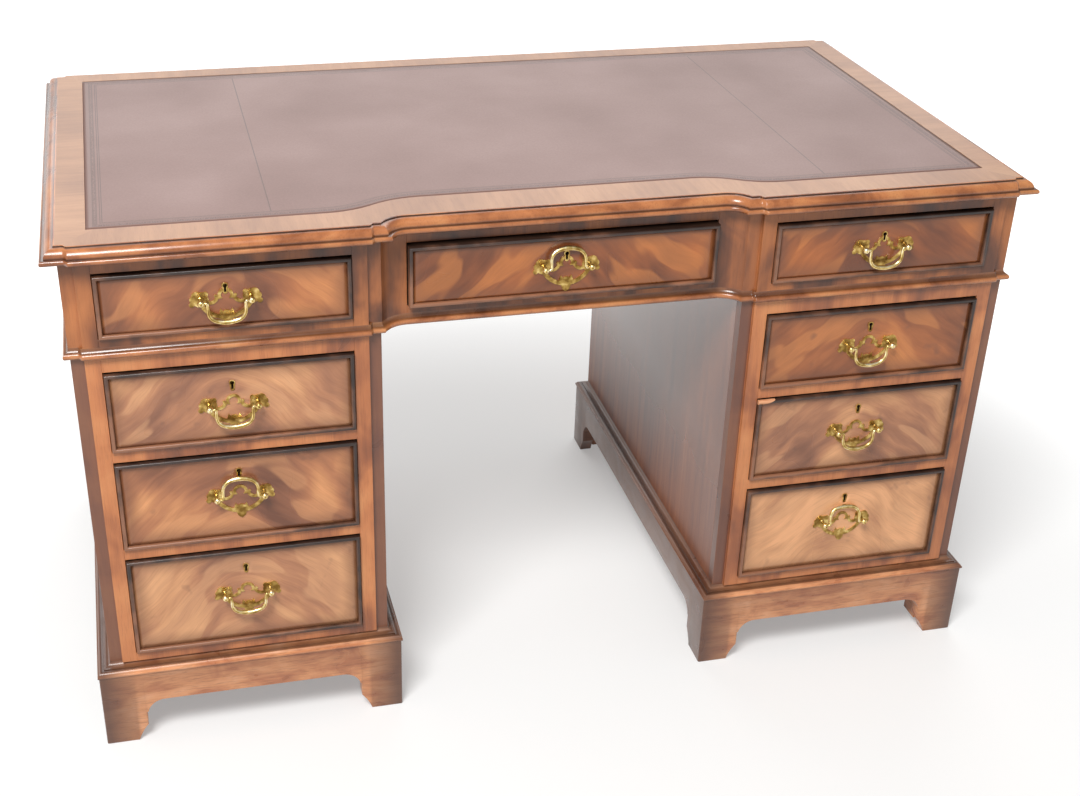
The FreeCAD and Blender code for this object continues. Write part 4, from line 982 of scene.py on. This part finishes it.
# Where each front's figure is cut from the sheet, and how much paler it is than the rest
fronts = {
    "left_frieze_drawer": (1.0, -0.04), "centre_frieze_drawer": (7.0, -0.06),
    "right_frieze_drawer": (13.0, -0.1), "left_upper_drawer": (19.0, 0.03),
    "left_middle_drawer": (25.0, -0.02), "left_lower_drawer": (31.0, 0.02),
    "right_upper_drawer": (37.0, -0.05), "right_middle_drawer": (43.0, 0.03),
    "right_lower_drawer": (49.0, 0.165),
}
for name in drawerNames:
    makeVeneer(name, *fronts[name])
    makeBead(name)
    makeBail(name)
makeChip("right_middle_drawer")
print("drawers dressed:", len(drawerNames))


# Floor, light and camera

# One for what the eye sees, straight or in a polished or clear surface, and nought for other light
def seenRays(tree):
    path = addNode(tree, "LightPath").outputs
    looked = maths(tree, "MAXIMUM", path["Is Camera Ray"], path["Is Glossy Ray"])
    return maths(tree, "MAXIMUM", looked, path["Is Transmission Ray"])


# The floor is pale paper. What the eye sees of it glows a little, and more away from the desk, so that
# it runs out to white and still keeps the desk's shadow.
def addStage():
    look = {"half": 9.0, "colour": "#c9c9c8", "glow": (0.31, 0.8), "glowSpan": (1.1, 2.1),
            "glowMiddle": (-0.1, -0.55, 0.0)}
    mesh = bpy.data.meshes.new("studioFloor")
    h = look["half"]
    mesh.from_pydata([(-h, -h, 0), (h, -h, 0), (h, h, 0), (-h, h, 0)], [], [(0, 1, 2, 3)])
    floor = putInScene("studioFloor", mesh)
    material, tree = newMaterial("palePaperFloor")
    shifted = addNode(tree, "VectorMath", {0: objectPlace(tree)}, {1: look["glowMiddle"]},
                      operation="SUBTRACT").outputs[0]
    away = addNode(tree, "VectorMath", {0: shifted}, operation="LENGTH").outputs["Value"]
    glow = spread(tree, away, over=look["glowSpan"], to=look["glow"], kind="SMOOTHSTEP")
    addShader(tree, {"Emission Strength": maths(tree, "MULTIPLY", glow, seenRays(tree))},
              {"Base Color": srgb(look["colour"]), "Roughness": 0.7, "Specular IOR Level": 0.2,
               "Emission Color": srgb("#ffffff")})
    mesh.materials.append(material)


# A white paper backdrop round the floor: white to the eye and to polished surfaces, and as bright as
# the room to everything else
def addBackdrop(room):
    look = {"half": 8.9, "height": 3.2}
    h = look["half"]
    base = np.array([(-h, -h), (h, -h), (h, h), (-h, h)])
    points = np.concatenate([np.column_stack([base, np.full(4, z)]) for z in (0.0, look["height"])])
    mesh = bpy.data.meshes.new("paperBackdrop")
    mesh.from_pydata(points.tolist(), [], [(k, k + 4, (k + 1) % 4 + 4, (k + 1) % 4) for k in range(4)])
    wall = putInScene("paperBackdrop", mesh)
    material, tree = newMaterial("whitePaperBackdrop")
    strength = spread(tree, seenRays(tree), over=(0.0, 1.0), to=(room, 1.0))
    addShader(tree, {"Strength": strength}, {"Color": srgb("#ffffff")}, "Emission")
    mesh.materials.append(material)


def addLamp(name, place, target, size, power):
    lamp = bpy.data.lights.new(name, "AREA")
    lamp.shape = "RECTANGLE"
    lamp.size, lamp.size_y = size
    lamp.energy = power
    back = np.array(place, float) - np.array(target, float)
    back /= np.linalg.norm(back)
    right = np.cross([0, 0, 1.0], back)
    right /= np.linalg.norm(right)
    pose = np.eye(4)
    pose[:3, :3] = np.stack([right, np.cross(back, right), back], axis=1)
    pose[:3, 3] = place
    putInScene(name, lamp).matrix_world = Matrix(pose.tolist())


# A pale room with its backdrop, a softbox high behind that lays a sheen on the top, and one high in
# front: each has its place, its target, its size in metres and its power in watts
def addLight():
    look = {"room": 0.42, "behind": ((0.5, 2.9, 2.7), (0, 0, 0.8), (4.4, 2.2), 72),
            "front": ((-1.5, -2.4, 3.7), (0, 0, 0.4), (1.5, 1.2), 190)}
    world = bpy.data.worlds.new("paleStudio")
    scene.world = world
    world.use_nodes = True
    tree = world.node_tree
    tree.nodes.clear()
    soft = addNode(tree, "Background", None, {"Color": srgb("#ffffff"), "Strength": look["room"]})
    addNode(tree, "OutputWorld", {"Surface": soft.outputs[0]})
    addBackdrop(look["room"])
    addLamp("backSoftbox", *look["behind"])
    addLamp("frontSoftbox", *look["front"])


# The camera solved from the photo's straight edges: eye in metres, turns in degrees, focal length
# and principal point in pixels of the 1080 by 796 frame
def addCamera():
    shot = {"eye": (-0.5567, -2.2166, 1.5553), "azimuth": -14.461, "elevation": 29.871, "roll": 1.470,
            "focalPixels": 1555.6, "centrePixel": (510.6, 434.6), "framePixels": (1080, 796)}
    a, e, r = np.radians([shot["azimuth"], shot["elevation"], shot["roll"]])
    back = np.array([np.sin(a) * np.cos(e), -np.cos(a) * np.cos(e), np.sin(e)])
    right = np.cross(-back, [0, 0, 1.0])
    right /= np.linalg.norm(right)
    up = np.cross(right, -back)
    pose = np.eye(4)
    pose[:3, 0] = np.cos(r) * right + np.sin(r) * up
    pose[:3, 1] = np.cos(r) * up - np.sin(r) * right
    pose[:3, 2] = back
    pose[:3, 3] = shot["eye"]
    wide, high = shot["framePixels"]
    data = bpy.data.cameras.new("photoCamera")
    data.sensor_fit = "HORIZONTAL"
    data.sensor_width = 36.0
    data.lens = shot["focalPixels"] / wide * data.sensor_width
    data.shift_x = (wide / 2 - shot["centrePixel"][0]) / wide
    data.shift_y = (shot["centrePixel"][1] - high / 2) / wide
    data.clip_end = 100
    camera = putInScene("photoCamera", data)
    camera.matrix_world = Matrix(pose.tolist())
    scene.camera = camera


addStage()
addLight()
addCamera()
scene.view_settings.view_transform = "Standard"
print("stage, light and camera set")
